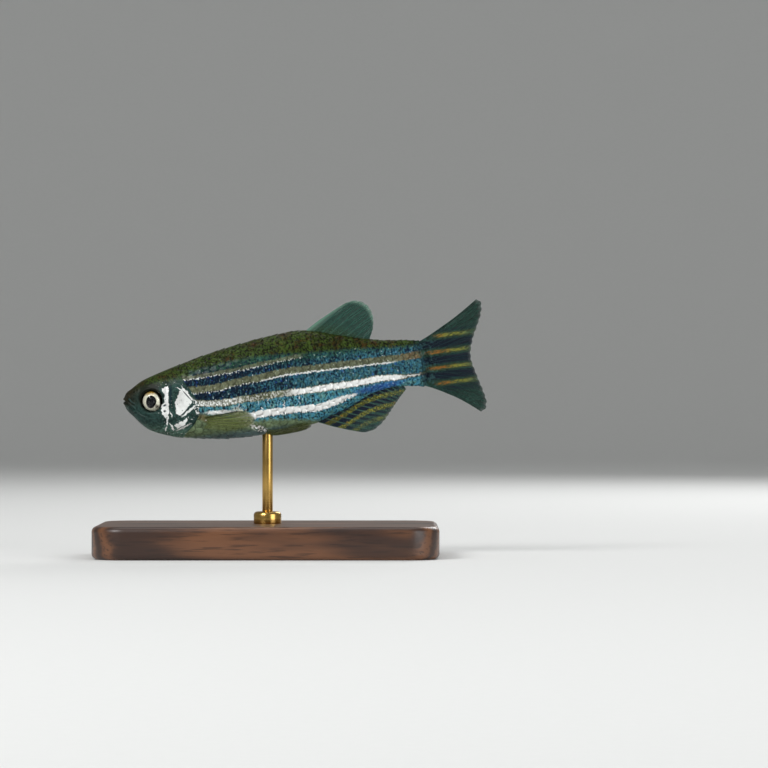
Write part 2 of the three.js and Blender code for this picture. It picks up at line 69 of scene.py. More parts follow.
# The photograph's frame and the fish's place in it
PHOTO_SIZE = 768
PHOTO_SNOUT = (124, 402)
MM_PER_PIXEL = 0.1228
CAMERA_DISTANCE = 500.0
SENSOR = 36.0

# Outline of the body: height of the back, height of the belly and half breadth at stations along it
BACK = [
    (0, 0.95), (0.9, 1.37), (2.3, 2.2), (3.6, 2.68), (6.1, 3.4), (10, 4.4), (15, 5.35),
    (20, 5.97), (23, 6.0), (27.3, 4.87), (30.6, 3.98), (33.4, 3.5), (36.8, 3.12), (38.1, 3.05),
]
BELLY = [
    (0, -1.3), (0.56, -1.52), (1.63, -2.8), (2.7, -3.8), (5.1, -4.85), (8.7, -5.65), (12.4, -6.12),
    (16, -6.15), (20, -5.85), (22.8, -5.6), (24.9, -4.85), (27.5, -4.02), (30.1, -2.85), (32.6, -2.32),
    (35, -2.42), (38.1, -2.8),
]
BREADTH = [
    (0, 0.9), (0.9, 1.35), (2, 1.8), (3.5, 2.2), (6.1, 2.68), (8.7, 2.9), (12.4, 3.08), (16, 3.02),
    (20, 2.75), (23.5, 2.35), (27.5, 1.75), (32, 1.15), (35, 0.86), (38.1, 0.55),
]
SQUARENESS = [(0, 2.5), (6, 2.4), (12, 2.2), (24, 2.1), (38.1, 2.0)]
BODY_END = 38.1
NOSE_CROWDING = 0.03
WIDEST = 0.54
NOSE_ROUND = 0.7
STALK_LEVEL = 0.15
# The stalk thins out here into the caudal fin, and its scales end in an arc
STALK_THIN_FROM = 33.5
STALK_THIN = 0.22
STALK_ROUND = 0.3
STALK_ARC = 0.9
STALK_ARC_FROM = 35.0
BEND_FROM = 14.0
BEND_TIP = 1.3
BEND_LENGTH = 31.0
PATH_STEPS = 24

# The fish's pose over its stand
PITCH = math.radians(7.15)
ROD_STATION = 17.0
BASE_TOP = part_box("stand_base")[1].z / MM
BELLY_CLEARANCE = 11.0
BRASS_EDGE = 0.08
ROD_SUNK = 0.4

# Lines of the head
GILL_SLIT = [
    (7.6, 3.4), (7.55, 2.1), (8.1, 1.0), (8.85, -0.3), (9.25, -1.6), (9.15, -2.7), (8.3, -3.9),
    (7.2, -4.8), (6.3, -5.7),
]
PREOPERCLE = [(5.6, 1.75), (5.15, 0.6), (5.05, -0.8), (5.2, -2.2), (5.0, -3.2), (4.1, -3.95), (3.0, -4.0)]
SUBOPERCLE = [(9.0, -1.1), (8.45, -1.5), (6.9, -2.5), (5.9, -3.35)]
INTEROPERCLE = [(8.1, -3.75), (6.4, -4.35), (4.6, -4.55), (3.2, -4.3)]
COVER_TOP = [(5.6, 1.75), (6.6, 1.6), (7.5, 1.45), (8.0, 1.15)]
JAW_FOLD = [(1.25, -1.15), (1.7, -1.7), (2.05, -2.3), (2.3, -3.1)]
MOUTH = [(-0.3, 0.4), (0, 0.14), (0.62, -0.55), (1.25, -1.15)]
# Forms of the head's surface: folds as (line, depth, half width), then the single ones
HEAD_FOLDS = (
    (PREOPERCLE, 0.1, 0.13), (SUBOPERCLE, 0.08, 0.09), (INTEROPERCLE, 0.08, 0.1), (COVER_TOP, 0.07, 0.1),
    (JAW_FOLD, 0.06, 0.12),
)
HEAD_END = 10.5
SLIT_DEPTH = 0.16
SLIT_WIDTH = 0.22
COVER_RISE = 0.1
LIP_RISE = 0.1
LIP_OFF = 0.2
LIP_WIDTH = 0.11
MOUTH_DEPTH = 0.26
MOUTH_WIDTH = 0.075
THROAT_SEAM = 0.06
THROAT_FOLD = 0.07
# Eyes and nostrils
EYE_STATION = (3.42, -0.32)
EYE_RADIUS = 1.34
EYE_INSET = 0.74
EYE_DEPTH = 0.88
SOCKET_DEPTH = 0.75
ORBIT_RISE = 0.04
ORBIT_OFF = 0.22
ORBIT_WIDTH = 0.14
IRIS_RADIUS = EYE_RADIUS * 0.985
IRIS_DOME = 0.78
PUPIL_DISH = 0.3
PUPIL_RIM = 0.03
LENS_SUNK = 0.36
LENS_DOME = 0.66
CORNEA_RISE = 0.12
CORNEA_THICKNESS = 0.03
IRIS_MIDDLE = (3.36, -0.5)
NOSTRILS = [(1.42, 1.0), (1.82, 1.2)]
NOSTRIL_RISE = 0.05
NOSTRIL_RISE_WIDTH = 0.06
NOSTRIL_DEPTH = 0.14
NOSTRIL_RADIUS = 0.1
NOSTRIL_RIM = 0.17
# Where the scales begin: under the gill cover's free edge, and up over the nape
SCALE_FRONT = [
    (6.3, -5.7), (7.2, -4.8), (8.3, -3.9), (9.15, -2.7), (9.25, -1.6), (8.85, -0.3), (8.1, 1.0),
    (7.5, 2.1), (7.1, 2.9), (6.8, 3.6),
]

# Silver of the head: outlines, run anticlockwise, and thin streaks as (u, w, half length, half height, tilt)
SILVER_OUTLINES = [
    [(6.3, -0.91), (6.31, -2.3), (6.85, -2.5), (8.5, -1.1), (7.9, 0.45), (7.28, 0.82)],
    [(4.84, 1.0), (5.17, 0.28), (5.55, 0.1), (5.8, 0.64), (5.7, 1.3)],
    [(5.22, 0.7), (4.98, -1.2), (5.5, -1.2), (5.72, 0.6)],
    [(4.53, -1.31), (4.62, -2.13), (4.99, -2.61), (5.46, -2.05), (5.6, -1.0), (5.11, -0.7), (4.64, -0.83)],
    [(5.04, -2.2), (4.9, -3.4), (5.05, -3.54), (5.38, -2.6), (5.42, -2.0)],
    [(5.8, -3.58), (6.22, -4.02), (6.98, -3.84), (7.68, -3.2), (7.58, -2.92)],
]
SILVER_STREAKS = [
    (7.95, -2.05, 1.1, 0.15, 33), (6.98, -3.97, 0.9, 0.1, 20), (5.68, -2.25, 0.42, 0.07, -82),
    (4.8, -3.86, 0.3, 0.09, 60), (5.56, -3.76, 0.5, 0.11, -65), (7.3, 0.62, 0.55, 0.07, -35),
    (8.0, 0.04, 1.15, 0.12, -57),
]
# Dark lines and spots that break the silver, and single patches, told in the same way
HEAD_LINES = [
    (7.72, -1.9, 1.05, 0.05, 35), (7.9, -0.16, 0.75, 0.07, -55), (5.93, 0.12, 1.15, 0.14, 83),
    (5.04, -1.04, 0.2, 0.12, 20), (4.95, -1.74, 0.16, 0.14, 0),
]
# So large that a spot's place across the fish doesn't count
ANY_BREADTH = 1000
COVER_FLECKS = (8.95, -1.75, 0.4, 0.95, 5)
# Painted shade in a ring round the eye's socket, and a dark patch over the brow
EYE_RING_SHADE = (3.4, -0.04, 1.5, 1.62, 0)
BROW = (3.5, 1.25, 1.2, 0.62, 8)
IRIS_DARK_PATCH = (3.98, -0.98, 0.42, 0.2, -48)
VIOLET_PATCH = (31.29, -2.09, 3.7, 0.52, 6)
SILVER_WEDGE = (11.64, -2.71, 1.7, 0.24, -4)
FIN_ROOT_PATCH = (9.75, -3.2, 1.1, 0.45, -30)
CREAM_FLECKS = (14.3, -3.6, 1.4, 0.75, -48)
# Painted glints, as silver flecks on the belly and between the broad stripes
BELLY_GLINTS = (16.1, -5.25, 1.0, 0.36, -25)
BAND_GLINTS = (18.5, -2.45, 4.0, 0.8, 0)
# Painted glints on the free rims of some scales
RIM_GLINTS = (18.0, -2.4, 4.4, 0.8, 0)

# Fins: ray roots lie along base and ray tips along edge. notch cuts the edge in between the rays, lean
# crowds the tips towards the rear, bow bends the first and last ray, and fold waves the membrane
DORSAL_FIN = {
    "rays": 9,
    "notch": 0.006,
    "lean": 0.78,
    "base": [(22.4, 5.35), (26.2, 4.5), (30.7, 3.3)],
    "edge": [(28.3, 8.6), (29.4, 8.88), (30.5, 8.6), (31.3, 7.85), (31.65, 6.6), (31.5, 5.3), (31.2, 4.55)],
    "bow": (0.18, 0.3),
    "fold": 0.06,
}
ANAL_FIN = {
    "rays": 14,
    "notch": 0.012,
    "lean": 0.5,
    "base": [(22.9, -5.15), (26.5, -3.7), (30.1, -2.2), (34.15, -1.75)],
    "edge": [
        (27.9, -7.15), (29.1, -7.4), (30.3, -7.1), (31.5, -6.2), (32.6, -4.95), (33.7, -3.7), (34.6, -2.75),
    ],
    "bow": (-0.2, 0.0),
    "fold": 0.05,
}
CAUDAL_FIN = {
    "rays": 19,
    "notch": 0.014,
    "lean": 1,
    "base": [
        (36.2, 2.5), (37.0, 2.35), (37.3, 1.5), (37.4, 0.42), (37.4, -0.12), (37.3, -1.2), (36.9, -2.05),
        (36.0, -2.2),
    ],
    "edge": [
        (44.45, 7.15), (44.88, 7.08), (45.1, 6.65), (44.95, 5.5), (44.4, 4.2), (43.75, 2.9), (43.3, 1.75),
        (43.05, 0.8), (43.0, 0.2), (43.05, -0.4), (43.3, -1.45), (43.65, -2.8), (44.0, -4.1),
        (44.25, -5.3), (44.15, -6.05), (43.82, -6.55), (43.35, -6.65),
    ],
    "bow": (-0.2, 0.36),
    "fold": 0.06,
}
PECTORAL_FIN = {
    "rays": 10,
    "notch": 0.012,
    "base": [(9.35, -3.15), (9.45, -3.7), (9.3, -4.25)],
    "edge": [
        (14.0, -2.8), (14.9, -3.0), (15.55, -3.5), (15.8, -4.15), (15.3, -4.75), (14.3, -5.05),
        (12.9, -5.15), (11.9, -5.05),
    ],
    "fold": 0.05,
    "root_sunk": 0.5,
    "stand_off": 1.1,
}
# Pelvic fins are drawn from below: half breadth takes the place of height
PELVIC_FIN = {
    "rays": 7,
    "notch": 0.02,
    "base": [(16.3, 0.5), (16.5, 0.85), (16.6, 1.25)],
    "edge": [(20.6, 0.5), (21.6, 0.58), (22.3, 0.8), (22.6, 1.1), (22.2, 1.4), (21.2, 1.55)],
    "fold": 0.03,
    "root_sunk": 0.45,
    "stand_off": 0.5,
}

# Barbels as (u, w, share of the flank's half breadth), root to tip
BARBELS = {
    "rostral": [(0.75, 0.3, 0.9), (1.1, -0.15, 1.36), (1.55, -0.45, 1.42)],
    "maxillary": [(1.35, -1.0, 0.85), (1.9, -1.75, 1.26), (2.9, -2.35, 1.27), (4.1, -2.75, 1.24)],
}

# Bands of the tail fin, by height, and of the anal fin, by depth under its root
TAIL_BAND_LEVEL = 1.48
TAIL_BAND_PITCH = 1.95
ANAL_BAND_DOWN = 1.28
ANAL_BAND_PITCH = 1.31
# Middle lines of the pale stripes, and where back and belly give way to the blue flank. All such lines
# are drawn within these ranges of u and w
ALONG_RANGE = (0, 40)
HEIGHT_RANGE = (-8, 8)
STRIPE_1 = [(7.2, 1.95), (9.65, 1.95), (12.1, 2.07), (14.6, 2.25), (17.1, 2.49), (19.65, 2.73), (23, 3.0)]
STRIPE_2 = [
    (7.5, 0.5), (9.45, 0.36), (11.9, 0.36), (14.45, 0.73), (16.9, 0.85), (19.45, 1.15), (24.4, 1.21),
    (34.3, 1.2), (38.5, 1.42),
]
STRIPE_3 = [
    (8.9, -1.24), (11.7, -1.59), (14.2, -1.53), (19.1, -1.41), (24.1, -1.35), (29.05, -1.23),
    (31.55, -1.05), (34, -1.17), (36.5, -1.11), (38.2, -0.78),
]
STRIPE_4 = [
    (9.7, -2.33), (12, -2.7), (14.5, -3.64), (16.4, -3.56), (18.9, -3.52), (21.3, -3.58), (23.8, -3.6),
    (26.35, -3.06), (28.5, -2.59), (32, -2.1),
]
BACK_EDGE = [
    (6, 2.3), (8.5, 2.6), (13.6, 3.2), (18, 3.42), (22.3, 3.15), (27.6, 2.9), (34.6, 2.47), (38.5, 2.4),
]
BELLY_EDGE = [(7, -2.3), (9, -2.5), (11, -3.0), (14, -4.1), (18, -4.3), (23, -5.05), (25, -5.7), (38.5, -5.7)]


def colour(red, green, blue):
    """A colour as 0 to 255 values on a screen, turned into the linear values that Blender mixes."""
    def linear(value):
        share = value / 255
        return share / 12.92 if share <= 0.04045 else ((share + 0.055) / 1.055) ** 2.4

    return (linear(red), linear(green), linear(blue), 1.0)


def toned(shade, amount):
    """A colour made brighter or darker."""
    return (shade[0] * amount, shade[1] * amount, shade[2] * amount, 1.0)


# Shape of the body


def clamp(value, low=0.0, high=1.0):
    return max(low, min(high, value))


def lerp(a, b, share):
    return a + (b - a) * share


def smoothstep(low, high, value):
    """0 at low, 1 at high, eased between them. low may be the larger one."""
    t = clamp((value - low) / (high - low))
    return t * t * (3 - 2 * t)


def swell(off, width):
    """A round swelling, 1 at its middle and a third of that at its half width."""
    return math.exp(-((off / width) ** 2))


def eased_cubic(t, a, b, leave, reach):
    """The cubic from a to b, at share t of the way, that leaves a and reaches b at the given slopes."""
    between = a * (2 * t**3 - 3 * t**2 + 1) + b * (3 * t**2 - 2 * t**3)
    return between + leave * (t**3 - 2 * t**2 + t) + reach * (t**3 - t**2)


def smooth_line(points):
    """A smooth curve through (x, value) points, level beyond its ends."""
    places = [x for x, _ in points]
    slopes = []
    for i in range(len(points)):
        a = points[max(i - 1, 0)]
        b = points[min(i + 1, len(points) - 1)]
        slopes.append((b[1] - a[1]) / (b[0] - a[0]))

    def value(x):
        x = clamp(x, places[0], places[-1])
        i = clamp(bisect_left(places, x) - 1, 0, len(points) - 2)
        (x0, y0), (x1, y1) = points[i], points[i + 1]
        span = x1 - x0
        return eased_cubic((x - x0) / span, y0, y1, slopes[i] * span, slopes[i + 1] * span)

    return value


back_at = smooth_line(BACK)
belly_at = smooth_line(BELLY)
breadth_at = smooth_line(BREADTH)
squareness_at = smooth_line(SQUARENESS)
scale_front_at = smooth_line([(w, u) for u, w in SCALE_FRONT])


def rounding(distance, radius):
    """How far the body has rounded up from its tip, 0 at the tip and 1 past the rounding."""
    left = 1 - clamp(distance / radius)
    return math.sqrt(1 - left * left)


def section(u, grow=0.0):
    """A section of the body, grown outwards: its widest level, reach up and down, half breadth and power."""
    nose = rounding(u + grow, NOSE_ROUND + grow)
    end = rounding(BODY_END + grow - u, STALK_ROUND + grow)
    top = lerp(STALK_LEVEL, back_at(u), end) * nose + grow * nose * end
    bottom = lerp(STALK_LEVEL, belly_at(u), end) * nose - grow * nose * end
    level = lerp(bottom, top, WIDEST)
    thin = lerp(1.0, STALK_THIN, smoothstep(STALK_THIN_FROM, BODY_END, u))
    half = max((breadth_at(u) * thin + grow) * nose * end, 0.01)
    return level, top - level, level - bottom, half, 2 / squareness_at(u)


def body_point(u, turn, grow=0.0):
    """A point of the body's surface as (u, y, w). turn is 0 on the back and half a turn under the belly."""
    level, up, down, half, power = section(u, grow)
    across = math.sin(turn)
    height = math.cos(turn)
    y = half * math.copysign(abs(across) ** power, across)
    reach = up if height > 0 else down
    arc = STALK_ARC * smoothstep(STALK_ARC_FROM, BODY_END, u) * height * height
    return Vector((u - arc, y, level + reach * math.copysign(abs(height) ** power, height)))


def flank_at(u, w):
    """Half breadth of the body at height w."""
    level, up, down, half, power = section(u)
    rise = min(abs(w - level) / (up if w > level else down), 1) ** (1 / power)
    return half * math.sqrt(1 - rise * rise) ** power


def flank_normal(u, w, side):
    step = 0.05
    along_u = (flank_at(u + step, w) - flank_at(u - step, w)) / (2 * step)
    along_w = (flank_at(u, w + step) - flank_at(u, w - step)) / (2 * step)
    return Vector((-along_u, side, -along_w)).normalized()


def belly_height(u, y):
    """Height of the belly at half breadth y."""
    level, _, down, half, power = section(u)
    out = min(y / half, 1) ** (1 / power)
    return level - down * math.sqrt(1 - out * out) ** power


def swing(u):
    """Sideways swing of the body's midline towards the tail."""
    return BEND_TIP * (max(u - BEND_FROM, 0) / BEND_LENGTH) ** 2


def pitched(u, w):
    return Vector((u * math.cos(PITCH) - w * math.sin(PITCH), 0, u * math.sin(PITCH) + w * math.cos(PITCH)))


ROD_TOP = pitched(ROD_STATION, belly_at(ROD_STATION))
FISH_PLACE = Vector((-ROD_TOP.x, 0, BASE_TOP + BELLY_CLEARANCE - ROD_TOP.z))


def place(p):
    """A point of the straight fish, in the posed fish's place in the row frame, in metres."""
    at = pitched(p.x, p.z) + FISH_PLACE
    at.y = p.y + swing(p.x)
    return at * MM


def distances_along(points):
    """How far each point lies from the first one, along the line through them."""
    return list(accumulate(((b - a).length for a, b in zip(points, points[1:])), initial=0.0))


def smooth_path(points):
    """A smooth curve through the points, as a function of the share of its length."""
    p = [Vector(q) for q in points]
    ends = [2 * p[0] - p[1], *p, 2 * p[-1] - p[-2]]
    drawn = [p[0]]
    for a, b, c, d in zip(ends, ends[1:], ends[2:], ends[3:]):
        steps = [max((f - e).length, 1e-4) ** 0.5 for e, f in ((a, b), (b, c), (c, d))]
        leave = ((b - a) / steps[0] - (c - a) / (steps[0] + steps[1]) + (c - b) / steps[1]) * steps[1]
        reach = ((c - b) / steps[1] - (d - b) / (steps[1] + steps[2]) + (d - c) / steps[2]) * steps[1]
        drawn += [eased_cubic(i / PATH_STEPS, b, c, leave, reach) for i in range(1, PATH_STEPS + 1)]
    lengths = distances_along(drawn)

    def at(share):
        want = clamp(share) * lengths[-1]
        high = min(bisect_right(lengths, want), len(lengths) - 1)
        low = high - 1
        return drawn[low].lerp(drawn[high], (want - lengths[low]) / max(lengths[high] - lengths[low], 1e-9))

    return at


def line_distance(points):
    """A function that gives a point's distance to a line of (u, w) points, and the side it lies on."""
    ends = [(Vector(a), Vector(b)) for a, b in zip(points, points[1:])]

    def distance(u, w):
        p = Vector((u, w))
        best = (1e9, 1.0)
        for a, b in ends:
            along = b - a
            share = clamp((p - a).dot(along) / along.length_squared)
            off = p - a - along * share
            if off.length < best[0]:
                best = (off.length, math.copysign(1.0, along.x * off.y - along.y * off.x))
        return best

    return distance


# Mesh helpers


def into_scene(name, data):
    """A new object of the scene that holds the data."""
    made = bpy.data.objects.new(name, data)
    bpy.context.scene.collection.objects.link(made)
    return made


def mesh_object(bm, name, material, smooth=True):
    """The bmesh as an object of the scene."""
    mesh = bpy.data.meshes.new(name)
    bm.to_mesh(mesh)
    bm.free()
    mesh.materials.append(material)
    for polygon in mesh.polygons:
        polygon.use_smooth = smooth
    return into_scene(name, mesh)


def finished(bm, name, material, replaced=(), smooth=True):
    """The bmesh as a piece that rides on the one body, takes its finish from a slot and stands for nodes."""
    piece = mesh_object(bm, name, material, smooth)
    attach(piece, "root")
    if replaced:
        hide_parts(*replaced)
    return piece


def face_outwards(bm):
    """Turns every face of a closed form outwards, once its vertices have their places."""
    bm.normal_update()
    bmesh.ops.recalc_face_normals(bm, faces=bm.faces)
    bm.normal_update()


def round_form(sides, stations, point_at):
    """A sphere whose poles become a form's two ends. point_at(share, turn) places each of its vertices."""
    bm = bmesh.new()
    bmesh.ops.create_uvsphere(bm, u_segments=sides, v_segments=stations, radius=1)
    for v in bm.verts:
        share = math.acos(clamp(v.co.z, -1, 1)) / math.pi
        turn = math.atan2(v.co.y, v.co.x)
        v.co = point_at(share, turn)
    face_outwards(bm)
    return bm


def spun(profile, steps, merge):
    """A bmesh spun round the upright axis from (radius, height) points in metres, the first on the axis."""
    bm = bmesh.new()
    points = [bm.verts.new((radius, 0, height)) for radius, height in profile]
    edges = [bm.edges.new(pair) for pair in zip(points, points[1:])]
    bmesh.ops.spin(
        bm, geom=points + edges, cent=(0, 0, 0), axis=(0, 0, 1), dvec=(0, 0, 0), angle=2 * math.pi,
        steps=steps, use_merge=True,
    )
    bmesh.ops.remove_doubles(bm, verts=bm.verts, dist=merge)
    face_outwards(bm)
    return bm


# Materials: numbers that vary over a surface, and a board on which nodes are laid


class Field:
    """A number that varies over a surface. Arithmetic on it adds Math nodes."""

    def __init__(self, board, socket):
        self.board = board
        self.socket = socket

    def __add__(self, other):
        return self.board.math("ADD", self, other)

    __radd__ = __add__

    def __sub__(self, other):
        return self.board.math("SUBTRACT", self, other)

    def __rsub__(self, other):
        return self.board.math("SUBTRACT", other, self)

    def __mul__(self, other):
        return self.board.math("MULTIPLY", self, other)

    __rmul__ = __mul__

    def __truediv__(self, other):
        return self.board.math("DIVIDE", self, other)

    def __rtruediv__(self, other):
        return self.board.math("DIVIDE", other, self)

    def __abs__(self):
        return self.board.math("ABSOLUTE", self)

    def below(self, limit, soft):
        """1 where the number is under the limit, 0 where it is over, eased across twice the softness."""
        return self.board.ease(self, limit + soft, limit - soft)

    def above(self, limit, soft):
        return self.board.ease(self, limit - soft, limit + soft)


class Board:
    """A material and the nodes laid out on it."""

    def __init__(self, name):
        self.material = bpy.data.materials.new(name)
        self.material.use_nodes = True
        self.tree = self.material.node_tree
        self.tree.nodes.clear()

    def node(self, kind, settings=None, values=None):
        """Adds a node, with its settings first and then the values or links of its sockets."""
        made = self.tree.nodes.new(kind)
        for key, value in (settings or {}).items():
            if key == "points":
                curve = made.mapping.curves[0]
                while len(curve.points) < len(value):
                    curve.points.new(0.5, 0.5)
                for point, at in zip(curve.points, value):
                    point.location = at
                made.mapping.update()
            else:
                setattr(made, key, value)
        for key, value in (values or {}).items():
            socket = made.inputs[key]
            if isinstance(value, Field):
                value = value.socket
            if isinstance(value, bpy.types.NodeSocket):
                self.tree.links.new(value, socket)
            else:
                socket.default_value = value
        return made

    def math(self, operation, *values):
        made = self.node("ShaderNodeMath", {"operation": operation}, dict(enumerate(values)))
        return Field(self, made.outputs[0])

    def most(self, first, *others):
        """The largest of several numbers."""
        for other in others:
            first = self.math("MAXIMUM", first, other)
        return first

    def ease(self, value, low, high):
        """0 at low, 1 at high, eased between them. low may be the larger one."""
        made = self.node(
            "ShaderNodeMapRange",
            {"interpolation_type": "SMOOTHSTEP"},
            {"Value": value, "From Min": low, "From Max": high},
        )
        return Field(self, made.outputs[0])

    def mix(self, factor, a, b):
        """A colour that goes from a to b."""
        made = self.node("ShaderNodeMix", {"data_type": "RGBA"}, {0: factor, 6: a, 7: b})
        return made.outputs[2]

    def mottled(self, factor, shade, dark, light=1.0):
        """A colour that goes from a darker tone of itself to a lighter one."""
        return self.mix(factor, toned(shade, dark), toned(shade, light))

    def scaled(self, shade, amount):
        """A colour made brighter or darker by an amount that varies."""
        made = self.node("ShaderNodeVectorMath", {"operation": "SCALE"}, {0: shade, "Scale": amount})
        return made.outputs[0]

    def moved(self, vector, location=(0, 0, 0), rotation=(0, 0, 0), scale=(1, 1, 1)):
        """A vector seen from a pattern's own place, turn and size."""
        made = self.node(
            "ShaderNodeMapping",
            {"vector_type": "TEXTURE"},
            {"Vector": vector, "Location": location, "Rotation": rotation, "Scale": scale},
        )
        return made.outputs[0]

    def split(self, vector):
        made = self.node("ShaderNodeSeparateXYZ", values={0: vector})
        return [Field(self, out) for out in made.outputs]

    def noise(self, vector, scale, detail=2.0, roughness=0.5):
        made = self.node(
            "ShaderNodeTexNoise",
            values={"Vector": vector, "Scale": scale, "Detail": detail, "Roughness": roughness},
        )
        return Field(self, made.outputs["Fac"])

    def specks(self, vector, scale, low, high, detail=1.0):
        """Noise eased into specks, 1 where it is over high and 0 where it is under low."""
        return self.ease(self.noise(vector, scale, detail), low, high)

    def ragged(self, vector, scale, detail, reach):
        """A place on the flank that noise pushes about, so that what is drawn on it has ragged edges."""
        stir = self.node("ShaderNodeTexNoise", values={"Vector": vector, "Scale": scale, "Detail": detail})
        pushed = self.node(
            "ShaderNodeVectorMath",
            {"operation": "MULTIPLY_ADD"},
            {0: stir.outputs["Color"], 1: (reach, 0.0, reach), 2: vector},
        )
        return self.moved(pushed.outputs[0], (reach / 2, 0, reach / 2))

    def cells(self, vector, scale):
        made = self.node("ShaderNodeTexVoronoi", values={"Vector": vector, "Scale": scale})
        return Field(self, made.outputs["Distance"])

    def attribute(self, name):
        made = self.node("ShaderNodeAttribute", {"attribute_name": name})
        return Field(self, made.outputs["Fac"])

    def line(self, x, points, x_range, y_range):
        """A smooth line through (x, y) points, read at x."""
        (x0, x1), (y0, y1) = x_range, y_range
        stops = [((x - x0) / (x1 - x0), (y - y0) / (y1 - y0)) for x, y in points]
        made = self.node("ShaderNodeFloatCurve", {"points": stops}, {"Value": (x - x0) / (x1 - x0)})
        return Field(self, made.outputs[0]) * (y1 - y0) + y0

    def bump(self, height, distance, strength=1.0):
        made = self.node(
            "ShaderNodeBump", values={"Height": height, "Distance": distance, "Strength": strength}
        )
        return made.outputs[0]

    def principled(self, **values):
        """The surface, with its sockets' names in lower case and underscores for spaces."""
        named = {key.replace("_", " ").title().replace("Ior", "IOR"): value for key, value in values.items()}
        made = self.node("ShaderNodeBsdfPrincipled", values=named)
        self.node("ShaderNodeOutputMaterial", values={"Surface": made.outputs[0]})
        return self.material

    def object_place(self):
        return self.node("ShaderNodeTexCoord").outputs["Object"]

    def fish_frame(self):
        """Object coordinates, turned into the fish's own millimetres (u, y, w)."""
        return self.moved(self.object_place(), FISH_PLACE * MM, (0, -PITCH, 0), (MM, MM, MM))

    def outline(self, vector, points):
        """How far inside an outline on the flank a place lies, in millimetres, less than 0 outside it."""
        inside = None
        for start, end in zip(points, points[1:] + points[:1]):
            along = (Vector(end) - Vector(start)).normalized()
            inwards = Vector((-along.y, 0, along.x))
            made = self.node("ShaderNodeVectorMath", {"operation": "DOT_PRODUCT"}, {0: vector, 1: inwards})
            edge = Field(self, made.outputs["Value"]) - inwards.dot(Vector((start[0], 0, start[1])))
            inside = edge if inside is None else self.math("MINIMUM", inside, edge)
        return inside

    def spot(self, vector, oval, soft, reach=1.0):
        """1 within an oval (u, w, half length, half height, tilt) of the flank, eased across its edge."""
        u, w, long, high, tilt = oval
        own = self.moved(vector, (u, 0, w), (0, -math.radians(tilt), 0), (long, ANY_BREADTH, high))
        made = self.node("ShaderNodeVectorMath", {"operation": "LENGTH"}, {0: own})
        return Field(self, made.outputs["Value"]).below(reach, soft)


# Sizes and colours that a user would change


def length_property(name, description, default, largest=5.0):
    """A length, given here in millimetres."""
    return FloatProperty(
        name=name, description=description, default=default * MM, min=0.0, max=largest * MM,
        subtype="DISTANCE", precision=6,
    )


def colour_property(name, description, default):
    return FloatVectorProperty(
        name=name, description=description, default=default, size=4, subtype="COLOR", min=0.0, max=1.0
    )


def in_millimetres(sizes):
    """The lengths of a group of sizes in millimetres, and its whole numbers as they are."""
    values = {name: getattr(sizes, name) for name in sizes.__annotations__}
    return SimpleNamespace(**{
        name: value / MM if isinstance(value, float) else value for name, value in values.items()
    })


class DanioSizes(bpy.types.PropertyGroup):
    """Sizes of the fish's fine forms."""

    scale_length: length_property("Scale length", "Length of a scale from root to free edge", 1.75)
    scale_pitch: length_property("Scale pitch", "Distance between scale columns on the flank", 0.96)
    scale_row: length_property("Scale row", "Distance between scale rows on the flank", 1.0)
    scale_lift: length_property("Scale lift", "Rise of a scale from its root to its free edge", 0.11)
    skin_depth: length_property("Skin depth", "How far the skin lies under the scales' outline", 0.07)
    membrane: length_property("Membrane", "Thickness of the fins' membrane", 0.07)
    ray_height: length_property("Ray height", "How far a fin ray stands out of the membrane", 0.055)
    barbel_radius: length_property("Barbel radius", "Radius of a barbel at its root", 0.12)
    pupil_radius: length_property("Pupil radius", "Radius of the dark lens of the eye", 0.64)
    skin_sides: IntProperty(name="Skin sides", description="Points round the body", default=144, min=24)
    skin_stations: IntProperty(name="Skin stations", description="Rings along the body", default=400, min=60)


class DanioColours(bpy.types.PropertyGroup):
    """Colours of the fish."""

    navy: colour_property("Navy", "Dark of the blue bands", colour(10, 26, 44))
    teal: colour_property("Teal", "Light of the blue bands", colour(54, 108, 126))
    lagoon: colour_property("Lagoon", "Greener light of the blue bands", colour(66, 108, 108))
    violet: colour_property("Violet blue", "Bright blue over the anal fin", colour(40, 76, 160))
    silver: colour_property("Silver", "White of the stripes and gill cover", colour(246, 248, 246))
    stripe: colour_property("Stripe", "Dull ground of the upper stripes", colour(118, 122, 94))
    bronze: colour_property("Bronze", "Orange of the stripes near the tail", colour(108, 84, 50))
    back_dark: colour_property("Back, dark", "Dark flecks of the back", colour(22, 22, 10))
    back_light: colour_property("Back, light", "Light flecks of the back", colour(56, 74, 28))
    belly: colour_property("Belly", "Ground of the belly", colour(118, 138, 104))
    underside: colour_property("Underside", "Blue-grey of the belly's keel", colour(78, 104, 118))
    cheek: colour_property("Cheek", "Grey-teal of the cheek", colour(50, 76, 71))
    sea_green: colour_property("Sea green", "Green of the upper flank", colour(40, 76, 56))
    brown: colour_property("Brown", "Red-brown of the snout and the top of the head", colour(58, 42, 18))
    chin: colour_property("Chin", "Pale grey of the throat", colour(100, 134, 118))
    iris: colour_property("Iris", "Cream of the iris", colour(250, 247, 224))
    gold: colour_property("Gold", "Gold at the top of the iris", colour(176, 138, 44))
    fin_teal: colour_property("Fin", "Grey-teal of the fins", colour(46, 80, 70))
    fin_navy: colour_property("Fin streaks", "Dark streaks of the fins", colour(12, 24, 40))
    fin_yellow: colour_property("Fin yellow", "Yellow streaks of the fins", colour(142, 142, 58))
    fin_orange: colour_property("Fin orange", "Orange of the streaks near the root", colour(150, 96, 36))
    fin_olive: colour_property("Paired fins", "Olive of the pectoral and pelvic fins", colour(116, 128, 76))


